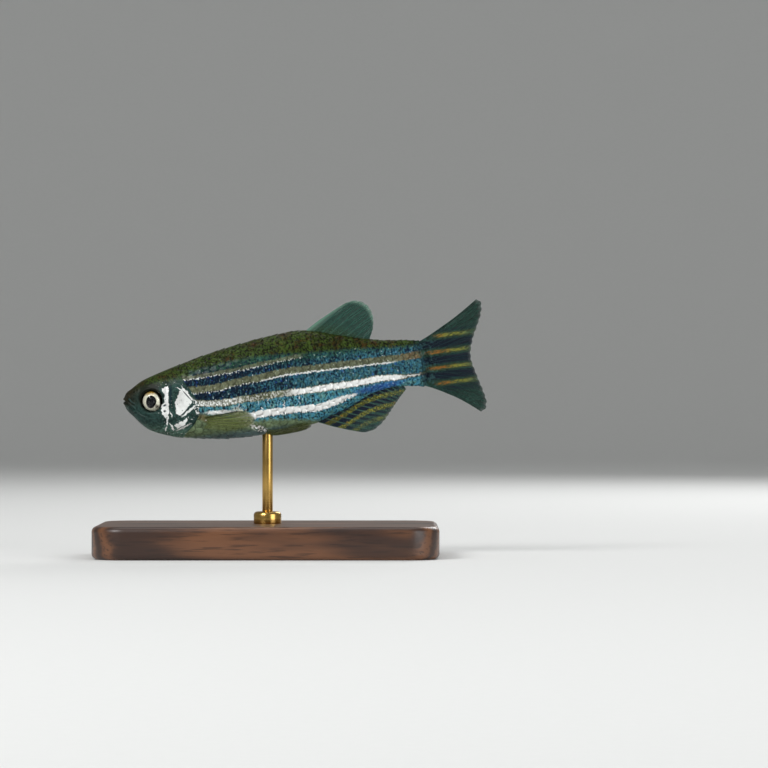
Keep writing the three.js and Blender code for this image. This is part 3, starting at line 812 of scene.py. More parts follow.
class StandLooks(bpy.types.PropertyGroup):
    """Sizes and colours of the display stand."""

    corner: length_property("Corner", "Radius of the base's corners", 4.0, 12.0)
    edge: length_property("Edge", "Radius of the base's eased edges", 0.7, 3.0)
    wood_dark: colour_property("Wood, dark", "Dark grain", colour(52, 30, 19))
    wood_light: colour_property("Wood, light", "Light grain", colour(112, 72, 45))
    brass: colour_property("Brass", "Rod and collar", colour(196, 158, 88))
    floor: colour_property("Floor", "Floor and backdrop", colour(226, 227, 226))


# Markings that skin and scales share

WET_SKIN = {"specular_ior_level": 0.06, "coat_roughness": 0.06, "coat_ior": 1.33}


def back_colour(board, fish, tones):
    """Olive and brown flecks over dark, running obliquely."""
    oblique = board.moved(fish, rotation=(0, math.radians(62), 0), scale=(1.6, 1, 0.6))
    grain = board.noise(oblique, 4.2, 3.0)
    drift = board.noise(fish, 0.7, 2.0)
    speck = board.noise(fish, 4.2, 1.0)
    shade = board.mix(board.ease(drift + speck * 0.5, 0.74, 0.98), tones.back_light, tones.brown)
    return board.mix(board.ease(grain * 0.7 + speck * 0.6, 0.54, 0.72), tones.back_dark, shade)


class Flank:
    """The place, the noises and the pale stripes' middle lines that the flank's markings share."""

    def __init__(self, board, fish, tones):
        self.board = board
        self.fish = fish
        self.tones = tones
        self.ragged = board.ragged(fish, 2.6, 2.0, 0.42)
        self.grain = board.noise(fish, 4.2, 3.0)
        self.streaks = board.noise(board.moved(fish, scale=(0.6, 1, 1.7)), 3.4, 3.0)
        self.mottle = board.noise(fish, 0.55, 2.0)
        self.speck = board.noise(fish, 4.2, 1.0)
        self.u, _, w = board.split(self.ragged)
        self.w = w + (self.streaks - 0.5) * 0.45
        self.first, self.second, self.third, self.fourth = (
            self.line(points) for points in (STRIPE_1, STRIPE_2, STRIPE_3, STRIPE_4)
        )
        self.front_stripes = self.u.below(22.3, 0.7)
        self.rear = board.ease(self.u, 32.5, 36.5)

    def line(self, points):
        return self.board.line(self.u, points, ALONG_RANGE, HEIGHT_RANGE)

    def stripe(self, middle, half, soft=0.07):
        return abs(self.w - middle).below(half, soft)


def blue_bands(flank):
    """Dark blue with light flecks, brighter low down and towards the tail, and violet over the anal fin."""
    board, tones = flank.board, flank.tones
    along = board.ease(flank.u, 10, 30)
    high = flank.w.above(1.3, 0.3)
    lit = flank.streaks * 0.8 + flank.speck * 0.8 + along * 0.24 + flank.mottle * 0.3 - high * 0.07
    light = board.mix(board.specks(flank.fish, 1.9, 0.45, 0.6, 2.0), tones.teal, tones.lagoon)
    shade = board.mix(board.ease(lit, 0.92, 1.32), tones.navy, light)
    low_band = flank.w.below(-1.5, 0.3) * board.ease(flank.streaks * 0.5 + flank.speck * 0.5, 0.38, 0.56)
    shade = board.mix(low_band, shade, board.scaled(light, 1.75))
    sparks = board.specks(flank.fish, 3.0, 0.66, 0.72) * flank.w.above(-1.4, 0.3) * flank.w.below(2.2, 0.3)
    shade = board.mix(sparks * 0.6, shade, tones.violet)
    violet = board.spot(flank.ragged, VIOLET_PATCH, 0.35, 0.8)
    return board.mix(violet * (0.35 + flank.speck * 0.5), shade, tones.violet)


def with_back(flank, shade):
    """The flecked back, with a green fringe on its way down to the blue."""
    board, tones = flank.board, flank.tones
    back = (flank.w - flank.line(BACK_EDGE) + (flank.speck - 0.5) * 0.5).above(0.1, 0.3)
    nape = flank.u.below(8.6, 0.8) * flank.w.above(2.1, 0.3)
    fringe = flank.w.above(2.35, 0.35) * board.ease(flank.speck, 0.3, 0.6)
    shade = board.mix(fringe * 0.8, shade, tones.sea_green)
    return board.mix(board.most(back, nape), shade, back_colour(board, flank.fish, tones))


def with_belly(flank, shade):
    """The olive belly, blue-grey along its keel, and a brown patch at the pectoral fin's root."""
    board, tones = flank.board, flank.tones
    belly = (flank.w - flank.line(BELLY_EDGE)).below(-0.1, 0.3)
    belly_shade = board.mottled(board.ease(flank.grain, 0.3, 0.7), tones.belly, 0.6)
    keel = flank.w.below(-5.35, 0.4) * flank.u.below(20, 2)
    shade = board.mix(belly, shade, board.mix(keel * 0.7, belly_shade, tones.underside))
    root = board.spot(flank.fish, FIN_ROOT_PATCH, 0.5)
    return board.mix(root * (0.4 + flank.grain * 0.5), shade, toned(tones.bronze, 0.75))


def with_pale_stripes(flank, shade):
    """The dull ground of the three upper stripes, bronze near the tail."""
    board, tones = flank.board, flank.tones
    dull = board.mottled(board.ease(flank.streaks * 0.6 + flank.speck * 0.5, 0.4, 0.75), tones.stripe, 0.5)
    dull = board.mix(flank.rear * board.ease(flank.speck, 0.3, 0.6), dull, tones.bronze)
    shade = board.mix(flank.stripe(flank.first, 0.24) * flank.front_stripes * 0.66, shade, dull)
    shade = board.mix(flank.stripe(flank.second, 0.42) * 0.92, shade, dull)
    third = flank.stripe(flank.third, 0.42 - flank.rear * 0.24)
    return board.mix(third * (1 - flank.rear * 0.3), shade, dull)


def silver_stripes(flank):
    """Silver along the stripes: glints under the two upper ones, then the two broad ones below."""
    board, u = flank.board, flank.u
    broken = board.ease(flank.streaks * 0.6 + flank.speck * 0.6, 0.56, 0.7)
    glint_1 = flank.stripe(flank.first - 0.22, 0.07, 0.04) * flank.front_stripes * broken * 0.6
    glint_2 = flank.stripe(flank.second - 0.42, 0.08, 0.05) * u.below(33.4, 0.8)
    glint_2 = glint_2 * board.most(broken * 0.8, u.above(17.5, 1.0) * 0.8)
    whole_3 = board.most(u.above(20.5, 1.2), u.below(14.5, 1.0) * (0.2 + broken * 0.72))
    tip_3 = board.ease(u, 33.4, 34.8)
    silver_3 = flank.stripe(flank.third, 0.34 - tip_3 * 0.24) * board.most(whole_3, broken * 0.5)
    silver_3 = silver_3 * (1 - tip_3 * 0.35) * u.below(36.5, 0.5)
    bite = board.specks(board.moved(flank.fish, scale=(0.5, 1, 2)), 3.0, 0.5, 0.75) * 0.22
    half_4 = 0.42 - bite * 0.5 - board.ease(u, 26.0, 28.5) * 0.24
    silver_4 = flank.stripe(flank.fourth + bite * 0.5, half_4) * u.above(14, 0.5) * u.below(28.4, 0.35)
    wedge = board.spot(flank.ragged, SILVER_WEDGE, 0.3) * 0.95
    return board.most(glint_1, glint_2, silver_3, silver_4, wedge)


def painted_glints(flank):
    """Painted glints as single silver flecks: over the flank, between the broad stripes and on the belly."""
    board, speck = flank.board, flank.speck
    between = board.spot(flank.fish, BAND_GLINTS, 0.3)
    on_belly = board.spot(flank.fish, BELLY_GLINTS, 0.4)
    anywhere = flank.u.above(9, 1) * flank.w.below(2.9, 0.3) * flank.w.above(-4.2, 0.3)
    return board.most(
        board.ease(speck, 0.7, 0.76) * anywhere * 0.5,
        between * board.ease(flank.streaks, 0.62, 0.68) * 0.4,
        on_belly * board.ease(speck, 0.46, 0.52),
    )


def flank_markings(board, fish, tones):
    """Colour and silveriness of the fish's flank, without its head."""
    flank = Flank(board, fish, tones)
    shade = with_pale_stripes(flank, with_belly(flank, with_back(flank, blue_bands(flank))))
    cream = board.spot(fish, CREAM_FLECKS, 0.4) * board.ease(flank.speck, 0.44, 0.52)
    shade = board.mix(cream * 0.95, shade, toned(tones.iris, 0.9))
    # The stripes' silver, with painted glints laid over it
    bright = board.most(silver_stripes(flank), painted_glints(flank))
    return board.mix(bright, shade, board.mottled(flank.streaks, tones.silver, 0.92)), bright


def head_ground(board, fish, tones):
    """The head's colours under its silver: flecked top, cheek, dark snout, mottled jaw, paler throat, and
    painted shade round the eye.
    """
    u, _, w = board.split(fish)
    grain = board.noise(fish, 3.6, 3.0)
    drift = board.noise(fish, 0.9, 2.0)
    cheek = board.mottled(board.ease(grain + drift * 0.6, 0.55, 1.05), tones.cheek, 0.35)
    shade = board.mix((w - u * 0.13).above(1.0, 0.8), cheek, back_colour(board, fish, tones))
    coarse = board.ease(grain, 0.35, 0.65)
    snout_shade = board.mix(coarse, toned(tones.back_dark, 0.6), toned(tones.brown, 0.6))
    jaw_shade = board.mottled(board.ease(grain, 0.35, 0.62), tones.cheek, 0.3, 0.9)
    snout_shade = board.mix(w.below(-0.5, 0.5) * 0.85, snout_shade, jaw_shade)
    shade = board.mix((u - w * 0.4).below(1.7, 1.3) * 0.85, shade, snout_shade)
    throat_shade = board.mottled(board.ease(grain, 0.3, 0.7), tones.chin, 0.45)
    shade = board.mix((w + u * 0.16).below(-3.0, 0.8) * 0.8, shade, throat_shade)
    # Painted shade in a ring round the eye's socket, darkest above it, and a dark patch over the brow
    ring = board.spot(fish, EYE_RING_SHADE, 0.14)
    brow = board.spot(fish, BROW, 0.35)
    return board.mix(board.most(ring * 0.9, brow * 0.8), shade, toned(tones.back_dark, 0.5))


def head_markings(board, fish, tones):
    """Colour and silveriness of the fish's head."""
    u, _, w = board.split(fish)
    ragged = board.ragged(fish, 2.4, 3.0, 0.5)
    dots = board.noise(fish, 5.0, 1.0)
    under_top = 1 - (w - u * 0.13).above(1.0, 0.8)
    # The head's silver; the tiny specks over the side of the head are painted glints
    silver = board.most(
        board.spot(fish, COVER_FLECKS, 0.3) * board.ease(dots, 0.5, 0.58),
        board.ease(dots, 0.69, 0.74) * under_top * u.above(4.2, 0.6) * 0.8,
        *[board.ease(board.outline(ragged, points), -0.02, 0.07) for points in SILVER_OUTLINES],
        *[board.spot(ragged, streak, 0.3) for streak in SILVER_STREAKS],
    )
    shade = head_ground(board, fish, tones)
    for line in HEAD_LINES:
        mask = board.spot(fish, line, 0.45)
        silver = silver * (1 - mask * 0.95)
        shade = board.mix(mask * 0.65, shade, tones.navy)
    silver = silver * board.ease(dots, 0.24, 0.34)
    bright = board.mottled(board.specks(fish, 0.9, 0.35, 0.6, 2.0), tones.silver, 0.82)
    return board.mix(silver, shade, bright), silver


def tail_bands(board, fish, tones):
    """The flank's stripes and bands, carried on over the tail fin, parallel to the body."""
    u, _, w = board.split(fish)
    stir = board.noise(board.moved(fish, scale=(2.2, 1, 1)), 2.0, 2.0)
    grain = board.noise(fish, 3.5, 3.0)
    phase = board.math("COSINE", (w + stir * 0.3 - TAIL_BAND_LEVEL) * (2 * math.pi / TAIL_BAND_PITCH))
    inner = w.above(-3.0, 0.5) * w.below(3.9, 0.4)
    upper = w.above(2.5, 0.3)
    shade = board.mottled(board.ease(grain, 0.3, 0.7), tones.fin_teal, 0.22, 0.62)
    lowest = w.below(-2.9, 0.25) * w.above(-3.7, 0.3) * u.above(39.2, 0.6) * board.ease(grain, 0.4, 0.6)
    for dark in (phase.below(-0.1, 0.5) * inner * 0.95, lowest * 0.8):
        shade = board.mix(dark, shade, toned(tones.fin_navy, 0.8))
    foot = u.below(38.6, 0.8) * board.specks(fish, 2.4, 0.5, 0.62, 2.0)
    shade = board.mix(foot * 0.5, shade, toned(tones.lagoon, 0.7))
    warm = board.mix(board.ease(u + grain + upper * 0.7, 40.0, 41.6), tones.fin_orange, tones.fin_yellow)
    warm = board.mix(board.ease(u, 41.6, 43.6), warm, toned(tones.fin_teal, 1.2))
    late = (u - upper * 1.2 - w.below(-2.0, 0.3) * 0.8).above(37.7, 0.6)
    fringe = phase.above(0.55, 0.3) * inner * late
    shade = board.mix(fringe * 0.4, shade, toned(tones.fin_yellow, 0.3))
    dashes = board.noise(board.moved(fish, rotation=(0, -0.1, 0), scale=(1.6, 1, 0.35)), 4.0, 2.0)
    streak = phase.above(0.84, 0.14) * inner * late * board.ease(dashes, 0.4, 0.56)
    return board.mix(streak * 0.75, shade, warm)


def markings(board, fish, tones):
    """Colour and silveriness anywhere on the fish."""
    u, _, w = board.split(fish)
    slit = board.line(w, [(height, along) for along, height in SCALE_FRONT], HEIGHT_RANGE, (0, 16))
    flank, flank_silver = body_markings(board, fish, tones)
    head, head_silver = head_markings(board, fish, tones)
    is_flank = (u - slit).above(0, 0.15)
    return board.mix(is_flank, head, flank), is_flank * flank_silver + (1 - is_flank) * head_silver


def body_markings(board, fish, tones):
    """Colour and silveriness from the gill slit to the tail fin's root."""
    shade, silver = flank_markings(board, fish, tones)
    u, _, w = board.split(fish)
    tail = (u + board.noise(fish, 3.0, 2.0) * 1.4 + abs(w) * 0.25).above(37.75, 0.75)
    return board.mix(tail, shade, tail_bands(board, fish, tones)), silver * (1 - tail)


def skin_material(tones):
    board = Board("danio_skin")
    fish = board.fish_frame()
    shade, silver = markings(board, fish, tones)
    fine = board.noise(fish, 9.0, 2.0)
    pores = board.cells(fish, 7.0)
    return board.principled(
        base_color=shade,
        metallic=silver * 0.35 + 0.1,
        roughness=0.4 - silver * 0.1 + fine * 0.12,
        coat_weight=0.09,
        normal=board.bump((fine * 0.5 + pores * 0.5) * (1 - silver * 0.7), 0.03 * MM, 0.5),
        **WET_SKIN,
    )


def scale_material(tones):
    board = Board("danio_scales")
    fish = board.fish_frame()
    shade, silver = body_markings(board, fish, tones)
    tint = board.attribute("tint")
    rim = board.attribute("rim")
    fine = board.noise(fish, 11.0, 2.0)
    # Painted glints: silver crescents at the free rims of some scales between the broad stripes
    rim_glint = rim.above(0.88, 0.06) * tint.above(0.5, 0.03) * board.specks(fish, 1.8, 0.5, 0.56, 0.0)
    rim_glint = rim_glint * board.spot(fish, RIM_GLINTS, 0.2)
    shade = board.mix(rim_glint * 0.9, shade, tones.silver)
    dull = 1 - silver
    edge = rim.above(0.86, 0.12) * (dull * 0.2 + 0.04)
    grooves = board.math("SINE", rim * 46)
    return board.principled(
        base_color=board.scaled(shade, 1 + (tint - 0.5) * (dull * 0.36 + 0.06) - edge),
        metallic=silver * 0.3 + tint * 0.1,
        roughness=0.36 - silver * 0.06 + fine * 0.12,
        coat_weight=0.16,
        normal=board.bump(grooves * 0.3 + fine * 0.5, 0.01 * MM, 0.4),
        **WET_SKIN,
    )


# The skin


def crowded(share):
    """Station along the body of a ring, with half of the rings on the head."""
    near = share / (share + NOSE_CROWDING)
    return BODY_END * near * (0.45 * share + 0.55 * share**3) * (1 + NOSE_CROWDING)


def throat_relief(u, y):
    """A seam along the middle of the throat, and a fold on either side that parts from it rearwards."""
    reach = smoothstep(0.5, 1.4, u) * smoothstep(6.8, 5.6, u)
    fold = 0.3 + 0.2 * (u - 1.0)
    return -reach * (THROAT_SEAM * swell(y, 0.09) + THROAT_FOLD * swell(abs(y) - fold, 0.1))


def head_relief(u, w, facing, slit, mouth, folds):
    """How far the head's surface stands out or in, in millimetres. facing is how far it looks sideways."""
    off, behind = slit(u, w)
    cover = smoothstep(4.9, 5.6, u) * smoothstep(2.4, 1.5, w) * smoothstep(0.0, 0.3, facing)
    if behind > 0:
        rise = -SLIT_DEPTH * swell(off, SLIT_WIDTH) * cover
    else:
        rise = COVER_RISE * cover * smoothstep(0.0, 0.1, off)
    side = smoothstep(0.12, 0.5, facing)
    for distance, depth, width in folds:
        rise -= depth * swell(distance(u, w)[0], width) * side
    off = mouth(u, w)[0]
    rise += LIP_RISE * swell(off - LIP_OFF, LIP_WIDTH) - MOUTH_DEPTH * swell(off, MOUTH_WIDTH)
    off = math.dist((u, w), EYE_STATION)
    rise += ORBIT_RISE * swell(off - EYE_RADIUS - ORBIT_OFF, ORBIT_WIDTH)
    rise -= SOCKET_DEPTH * smoothstep(EYE_RADIUS + 0.1, EYE_RADIUS - 0.08, off)
    for nostril in NOSTRILS:
        off = math.dist((u, w), nostril)
        rise += NOSTRIL_RISE * swell(off - NOSTRIL_RIM, NOSTRIL_RISE_WIDTH)
        rise -= NOSTRIL_DEPTH * swell(off, NOSTRIL_RADIUS)
    return rise


def build_skin(sizes, tones):
    """One skin over head, trunk and tail, a little inside the scales."""
    slit = line_distance(GILL_SLIT)
    mouth = line_distance(MOUTH)
    folds = [(line_distance(line), depth, width) for line, depth, width in HEAD_FOLDS]
    bm = round_form(
        sizes.skin_sides, sizes.skin_stations, lambda share, turn: body_point(crowded(share), turn)
    )
    for v in bm.verts:
        u, y, w = v.co
        rise = -sizes.skin_depth * smoothstep(0.0, 0.35, u - scale_front_at(w))
        if u < HEAD_END:
            rise += head_relief(u, w, abs(v.normal.y), slit, mouth, folds)
            rise += throat_relief(u, y) * smoothstep(-0.3, -0.7, v.normal.z)
        v.co = place(v.co + v.normal * rise)
    nodes = ("head", "lower_jaw", "trunk", "tail", "tail_stalk", "gill_cover_left", "gill_cover_right")
    finished(bm, "skin", skin_material(tones), nodes)


# The scales

GIRTH_STEPS = 48
GIRTH_SPACING = 0.1
FIRST_COLUMN = 5.6
SCALE_BREADTH = 1.32
SCALE_THICKNESS = 0.02
SCALE_CROWN = 0.02
ROOT_SUNK = 0.03
ROW_JITTER = 0.03
# Rows and columns draw together towards the tail, to these shares of their pitch
SLIM_FROM = 13
SLIM_TO = 35
SLIM_ROWS = 0.66
SLIM_COLUMNS = 0.74
BAKE_PATCH = 0.0015


@cache
def girth_table(step):
    """Lengths along a section's outline from the widest level, up to the back and down to the belly."""
    turns = [math.pi * i / GIRTH_STEPS for i in range(GIRTH_STEPS + 1)]
    lengths = distances_along([body_point(step * GIRTH_SPACING, turn) for turn in turns])
    middle = lengths[GIRTH_STEPS // 2]
    return [length - middle for length in lengths]


def girth(u):
    return girth_table(round(clamp(u, 0.5, BODY_END - 0.1) / GIRTH_SPACING))


def girth_turn(u, down):
    """The turn of the place that lies a distance down round the body from its widest level."""
    lengths = girth(u)
    down = clamp(down, lengths[0], lengths[-1])
    high = min(bisect_right(lengths, down), GIRTH_STEPS)
    low = high - 1
    return math.pi * (low + (down - lengths[low]) / (lengths[high] - lengths[low])) / GIRTH_STEPS


def add_scale(bm, layers, sizes, u0, down0, row_pitch, side, draw):
    """A thin plate, rounded at its free end, that rises from its root towards the tail."""
    tint_layer, rim_layer, bake_layer = layers
    length = sizes.scale_length * draw.uniform(0.95, 1.05) * (row_pitch / sizes.scale_row) ** 0.5
    width = row_pitch * SCALE_BREADTH
    tint = draw.random()
    lift = sizes.scale_lift * draw.uniform(0.85, 1.15)
    bake_root = Vector((u0 / BODY_END, 0.5 + side * girth_turn(u0, down0) / (2 * math.pi)))
    for v in bmesh.ops.create_grid(bm, x_segments=4, y_segments=4, size=1)["verts"]:
        a, b = v.co.x, v.co.y
        along = a * math.sqrt(1 - 0.5 * b * b)
        across = b * math.sqrt(1 - 0.5 * a * a)
        reach = math.hypot(along, across)
        u = min(u0 + along * length / 2, BODY_END - 0.05)
        turn = girth_turn(u, down0 + across * side * width / 2)
        height = lift * (along + 1) / 2 + SCALE_CROWN * (1 - across * across) - sizes.skin_depth - ROOT_SUNK
        v[tint_layer] = tint
        v[rim_layer] = reach if along > 0 else reach * 0.8
        for loop in v.link_loops:
            loop[bake_layer].uv = bake_root + Vector((a, b)) * BAKE_PATCH
        v.co = place(body_point(u, side * turn, height))


def build_flank_scales(sizes, side, name, material):
    """Overlapping scales in rows along one flank, from the gill slit to the tail fin's root."""
    draw = random.Random(11 if side < 0 else 12)
    bm = bmesh.new()
    numbers = bm.verts.layers.float
    layers = (numbers.new("tint"), numbers.new("rim"), bm.loops.layers.uv.new("OFBake"))
    u = FIRST_COLUMN
    column = 0
    while u < BODY_END - 0.25:
        slim = smoothstep(SLIM_FROM, SLIM_TO, u)
        row_pitch = sizes.scale_row * lerp(1.0, SLIM_ROWS, slim)
        top, *_, bottom = girth(u)
        for row in range(int(top / row_pitch) - 1, int(bottom / row_pitch) + 2):
            down = (row + 0.5 * (column % 2)) * row_pitch
            w = body_point(u, girth_turn(u, down)).z
            bare = u + sizes.scale_length * 0.45 < scale_front_at(w)
            if top - 0.1 < down < bottom + 0.1 and not bare:
                jitter = draw.uniform(-ROW_JITTER, ROW_JITTER)
                add_scale(bm, layers, sizes, u, down + jitter, row_pitch, side, draw)
        u += sizes.scale_pitch * lerp(1.0, SLIM_COLUMNS, slim)
        column += 1
    piece = finished(bm, name, material)
    thick = piece.modifiers.new("thickness", "SOLIDIFY")
    thick.thickness = SCALE_THICKNESS * MM
    thick.offset = -1


def build_scales(sizes, tones):
    material = scale_material(tones)
    for label, side in SIDES:
        build_flank_scales(sizes, side, f"scales_{label}", material)


# Eyes


def eye_place(side):
    """The middle of an eye, and a matrix whose axes run towards the tail, up and out of the head."""
    u, w = EYE_STATION
    facing = flank_normal(u, w, side)
    surface = Vector((u, side * flank_at(u, w), w))
    up = (Vector((0, 0, 1)) - facing * facing.z).normalized()
    along = up.cross(facing)
    return surface - facing * EYE_INSET, Matrix((along, up, facing)).transposed()


def eye_form(side, profile, oval):
    """A round form on an eye's axis. profile(share) gives its radius and its height over the eye's middle."""
    centre, axes = eye_place(side)

    def point_at(share, turn):
        radius, height = profile(share)
        local = Vector((radius * math.cos(turn) / oval, radius * math.sin(turn) * oval, height))
        return place(centre + axes @ local)

    return round_form(64, 40, point_at)


def iris_profile(pupil, share):
    """A flattened ball, dished at the pupil, so that the lens stands in it."""
    angle = share * math.pi
    radius = IRIS_RADIUS * math.sin(angle)
    if share >= 0.5:
        return radius, EYE_DEPTH * math.cos(angle)
    height = EYE_DEPTH * (1 - (radius / EYE_RADIUS) ** 3.4) * IRIS_DOME
    height -= PUPIL_DISH * smoothstep(pupil + 0.05, pupil - 0.12, radius)
    return radius, height + PUPIL_RIM * swell(radius - pupil - 0.08, 0.07)


def lens_profile(pupil, share):
    angle = share * math.pi
    return pupil * math.sin(angle), EYE_DEPTH - LENS_SUNK + pupil * LENS_DOME * math.cos(angle)


def cornea_profile(_, share):
    """A thin clear shell: out over the lens and back under itself."""
    outer = share < 0.5
    along = share * 2 if outer else (1 - share) * 2
    radius = EYE_RADIUS * math.sin(along * math.pi / 2)
    dome = math.sqrt(1 - (radius / (EYE_RADIUS + 0.04)) ** 2)
    height = (EYE_DEPTH + CORNEA_RISE) * dome + 0.02
    return radius, height if outer else height - CORNEA_THICKNESS


def iris_material(tones):
    """Cream round the pupil, gold above, a darker brown patch behind and below, with fine streaks out from
    the middle.
    """
    board = Board("danio_iris")
    fish = board.fish_frame()
    u, _, w = board.split(fish)
    du = (u - IRIS_MIDDLE[0]) * 1.08
    dw = (w - IRIS_MIDDLE[1]) * 0.9
    radius = board.math("SQRT", du * du + dw * dw)
    angle = board.math("ARCTAN2", dw, du)
    round_the_eye = board.node("ShaderNodeCombineXYZ", values={0: angle * 3, 1: radius * 1.2}).outputs[0]
    streaks = board.noise(round_the_eye, 3.0, 3.0)
    grain = board.noise(fish, 4.0, 3.0)
    shade = board.mottled(board.ease(streaks, 0.35, 0.65), tones.iris, 0.78)
    shade = board.mix(board.ease(dw + grain * 0.5, 0.98, 1.38), shade, tones.gold)
    dark_patch = board.spot(fish, IRIS_DARK_PATCH, 0.5) * board.ease(grain, 0.3, 0.55)
    shade = board.mix(dark_patch * 0.8, shade, toned(tones.brown, 0.6))
    shade = board.mix(radius.above(1.22, 0.08), shade, toned(tones.back_dark, 0.5))
    shade = board.mix(radius.below(0.62, 0.05), shade, (0.004, 0.004, 0.005, 1))
    return board.principled(
        base_color=shade,
        metallic=0.25,
        roughness=0.32,
        normal=board.bump(streaks, 0.03 * MM, 0.5),
    )


def lens_material():
    board = Board("danio_lens")
    haze = board.noise(board.fish_frame(), 2.0, 1.0)
    dark = board.mix(haze, (0.002, 0.002, 0.003, 1), (0.008, 0.009, 0.012, 1))
    return board.principled(base_color=dark, roughness=0.2, specular_ior_level=0.1)


def cornea_material():
    """Clear, with a gloss that grows towards the rim."""
    board = Board("danio_cornea")
    clear = board.node("ShaderNodeBsdfTransparent").outputs[0]
    gloss = board.node("ShaderNodeBsdfGlossy", values={"Roughness": 0.03}).outputs[0]
    weight = board.node("ShaderNodeFresnel", values={"IOR": 1.18}).outputs[0]
    made = board.node("ShaderNodeMixShader", values={0: weight, 1: clear, 2: gloss})
    board.node("ShaderNodeOutputMaterial", values={"Surface": made.outputs[0]})
    return board.material


def build_eyes(sizes, tones):
    """For each eye an iris, a lens that is a little higher than it is long, and a clear cornea."""
    forms = (
        ("iris", iris_profile, iris_material(tones), 1.0),
        ("lens", lens_profile, lens_material(), 1.08),
        ("cornea", cornea_profile, cornea_material(), 1.0),
    )
    for label, side in SIDES:
        for form, profile, material, oval in forms:
            bm = eye_form(side, partial(profile, sizes.pupil_radius), oval)
            replaced = (f"eye_{label}",) if form == "iris" else ()
            finished(bm, f"eye_{form}_{label}", material, replaced)


# Barbels


def tube(path, radius_at):
    """A closed tube with round ends along a path in millimetres."""
    ahead = 0.02

    def point_at(share, turn):
        along = clamp(share)
        run = (path(min(along + ahead, 1)) - path(max(along - ahead, 0))).normalized()
        out = run.cross(Vector((0, 0, 1))).normalized()
        up = out.cross(run)
        radius = radius_at(along) * rounding(along, 0.06) * rounding(1 - along, 0.12)
        return place(path(along) + (out * math.cos(turn) + up * math.sin(turn)) * radius)

    return round_form(16, 40, point_at)


def barbel_material(tones):
    board = Board("danio_barbel")
    grain = board.noise(board.fish_frame(), 6.0, 2.0)
    return board.principled(
        base_color=board.mottled(grain, tones.cheek, 0.4, 0.8),
        roughness=0.4,
        specular_ior_level=0.1,
        coat_weight=0.15,
        coat_roughness=0.1,
        normal=board.bump(grain, 0.02 * MM, 0.5),
    )


def build_barbels(sizes, tones):
    """Two pairs of barbels that taper to a third of their root's radius."""
    material = barbel_material(tones)
    for name, line in BARBELS.items():
        for label, side in SIDES:
            path = smooth_path([(u, side * flank_at(u, w) * share, w) for u, w, share in line])
            bm = tube(path, lambda along: sizes.barbel_radius * lerp(1.0, 0.35, along))
            finished(bm, f"barbel_{name}_{label}_fine", material, (f"barbel_{name}_{label}",))


# Fins

COLUMNS_PER_RAY = 12
FIN_ROWS = 40
# Where along its length a ray forks, and how far its branches part, in ray spacings
FIRST_FORK = (0.42, 0.62)
FIRST_SPREAD = 0.17
SECOND_FORK = (0.7, 0.86)
SECOND_SPREAD = 0.08
# How far the fin's faces stand out at its root and in over its blade and at its edge
ROOT_THICKER = 0.05
BLADE_THINNER = 0.02
EDGE_THINNER = 0.012


def ray_height(across, out, rays):
    """0 on the membrane and 1 on a ray, which forks twice on its way out."""
    place_in_ray = across * (rays - 1)
    off = abs(place_in_ray - round(place_in_ray))
    first = FIRST_SPREAD * smoothstep(*FIRST_FORK, out)
    second = SECOND_SPREAD * smoothstep(*SECOND_FORK, out)
    near = abs(abs(off - first) - second)
    if first < 0.02:
        near = min(near, off)
    return swell(near, lerp(0.13, 0.06, smoothstep(0.3, 0.9, out))) * (1 - 0.45 * out)


def build_fin(name, fin, point_at, sizes, material, replaced):
    """One membrane with its rays raised on both faces. point_at(across, out) is its middle surface."""
    gaps = fin["rays"] - 1
    bm = bmesh.new()
    across_layer = bm.verts.layers.float.new("across")
    out_layer = bm.verts.layers.float.new("out")
    ray_map = bm.loops.layers.uv.new("Rays")
    bmesh.ops.create_grid(bm, x_segments=gaps * COLUMNS_PER_RAY, y_segments=FIN_ROWS, size=1)
    for v in bm.verts:
        across = (v.co.x + 1) / 2
        out = (v.co.y + 1) / 2
        v[across_layer] = across
        v[out_layer] = out
        for loop in v.link_loops:
            loop[ray_map].uv = (across, out)
    for v in bm.verts:
        across = v[across_layer]
        out = v[out_layer]
        wave = math.sin(math.pi * across * gaps)
        v.co = point_at(across, out * (1 - fin["notch"] * wave * wave))
        v.co.y += fin["fold"] * wave * out * (1 - 0.4 * out)
    bm.normal_update()
    bmesh.ops.solidify(bm, geom=bm.faces[:], thickness=sizes.membrane)
    face_outwards(bm)
    for v in bm.verts:
        out = v[out_layer]
        rise = ray_height(v[across_layer], out, fin["rays"]) * sizes.ray_height
        rise += lerp(ROOT_THICKER, -BLADE_THINNER, smoothstep(0.0, 0.25, out))
        rise -= EDGE_THINNER * smoothstep(0.8, 1.0, out)
        v.co = place(v.co + v.normal * rise)
    finished(bm, f"{name}_rayed", material, replaced)


def fin_lines(fin):
    """Smooth lines through the points of the fin's root and of its edge."""
    return [smooth_path([(u, 0, w) for u, w in fin[line]]) for line in ("base", "edge")]


def median_surface(fin):
    base, edge = fin_lines(fin)

    def point_at(across, out):
        root = base(across)
        tip = edge(across ** fin["lean"])
        along = tip - root
        sag = Vector((-along.z, 0, along.x)) * (lerp(*fin["bow"], across) * out * (1 - out) * 0.5)
        return root.lerp(tip, out) + sag

    return point_at


def beside_flank(u, w, off):
    return u, flank_at(u, w) + off, w


def under_belly(u, y, off):
    return u, y, belly_height(u, y) - off


def paired_surface(fin, side, lie):
    """A fin that folds back along the body. lie(u, second, off) tells where the body holds it."""
    base, edge = fin_lines(fin)

    def point_at(across, out):
        p = base(across).lerp(edge(across), out)
        off = lerp(-fin["root_sunk"], fin["stand_off"], 1 - (1 - out) ** 4)
        u, y, w = lie(p.x, p.z, off)
        return Vector((u, side * y, w))

    return point_at


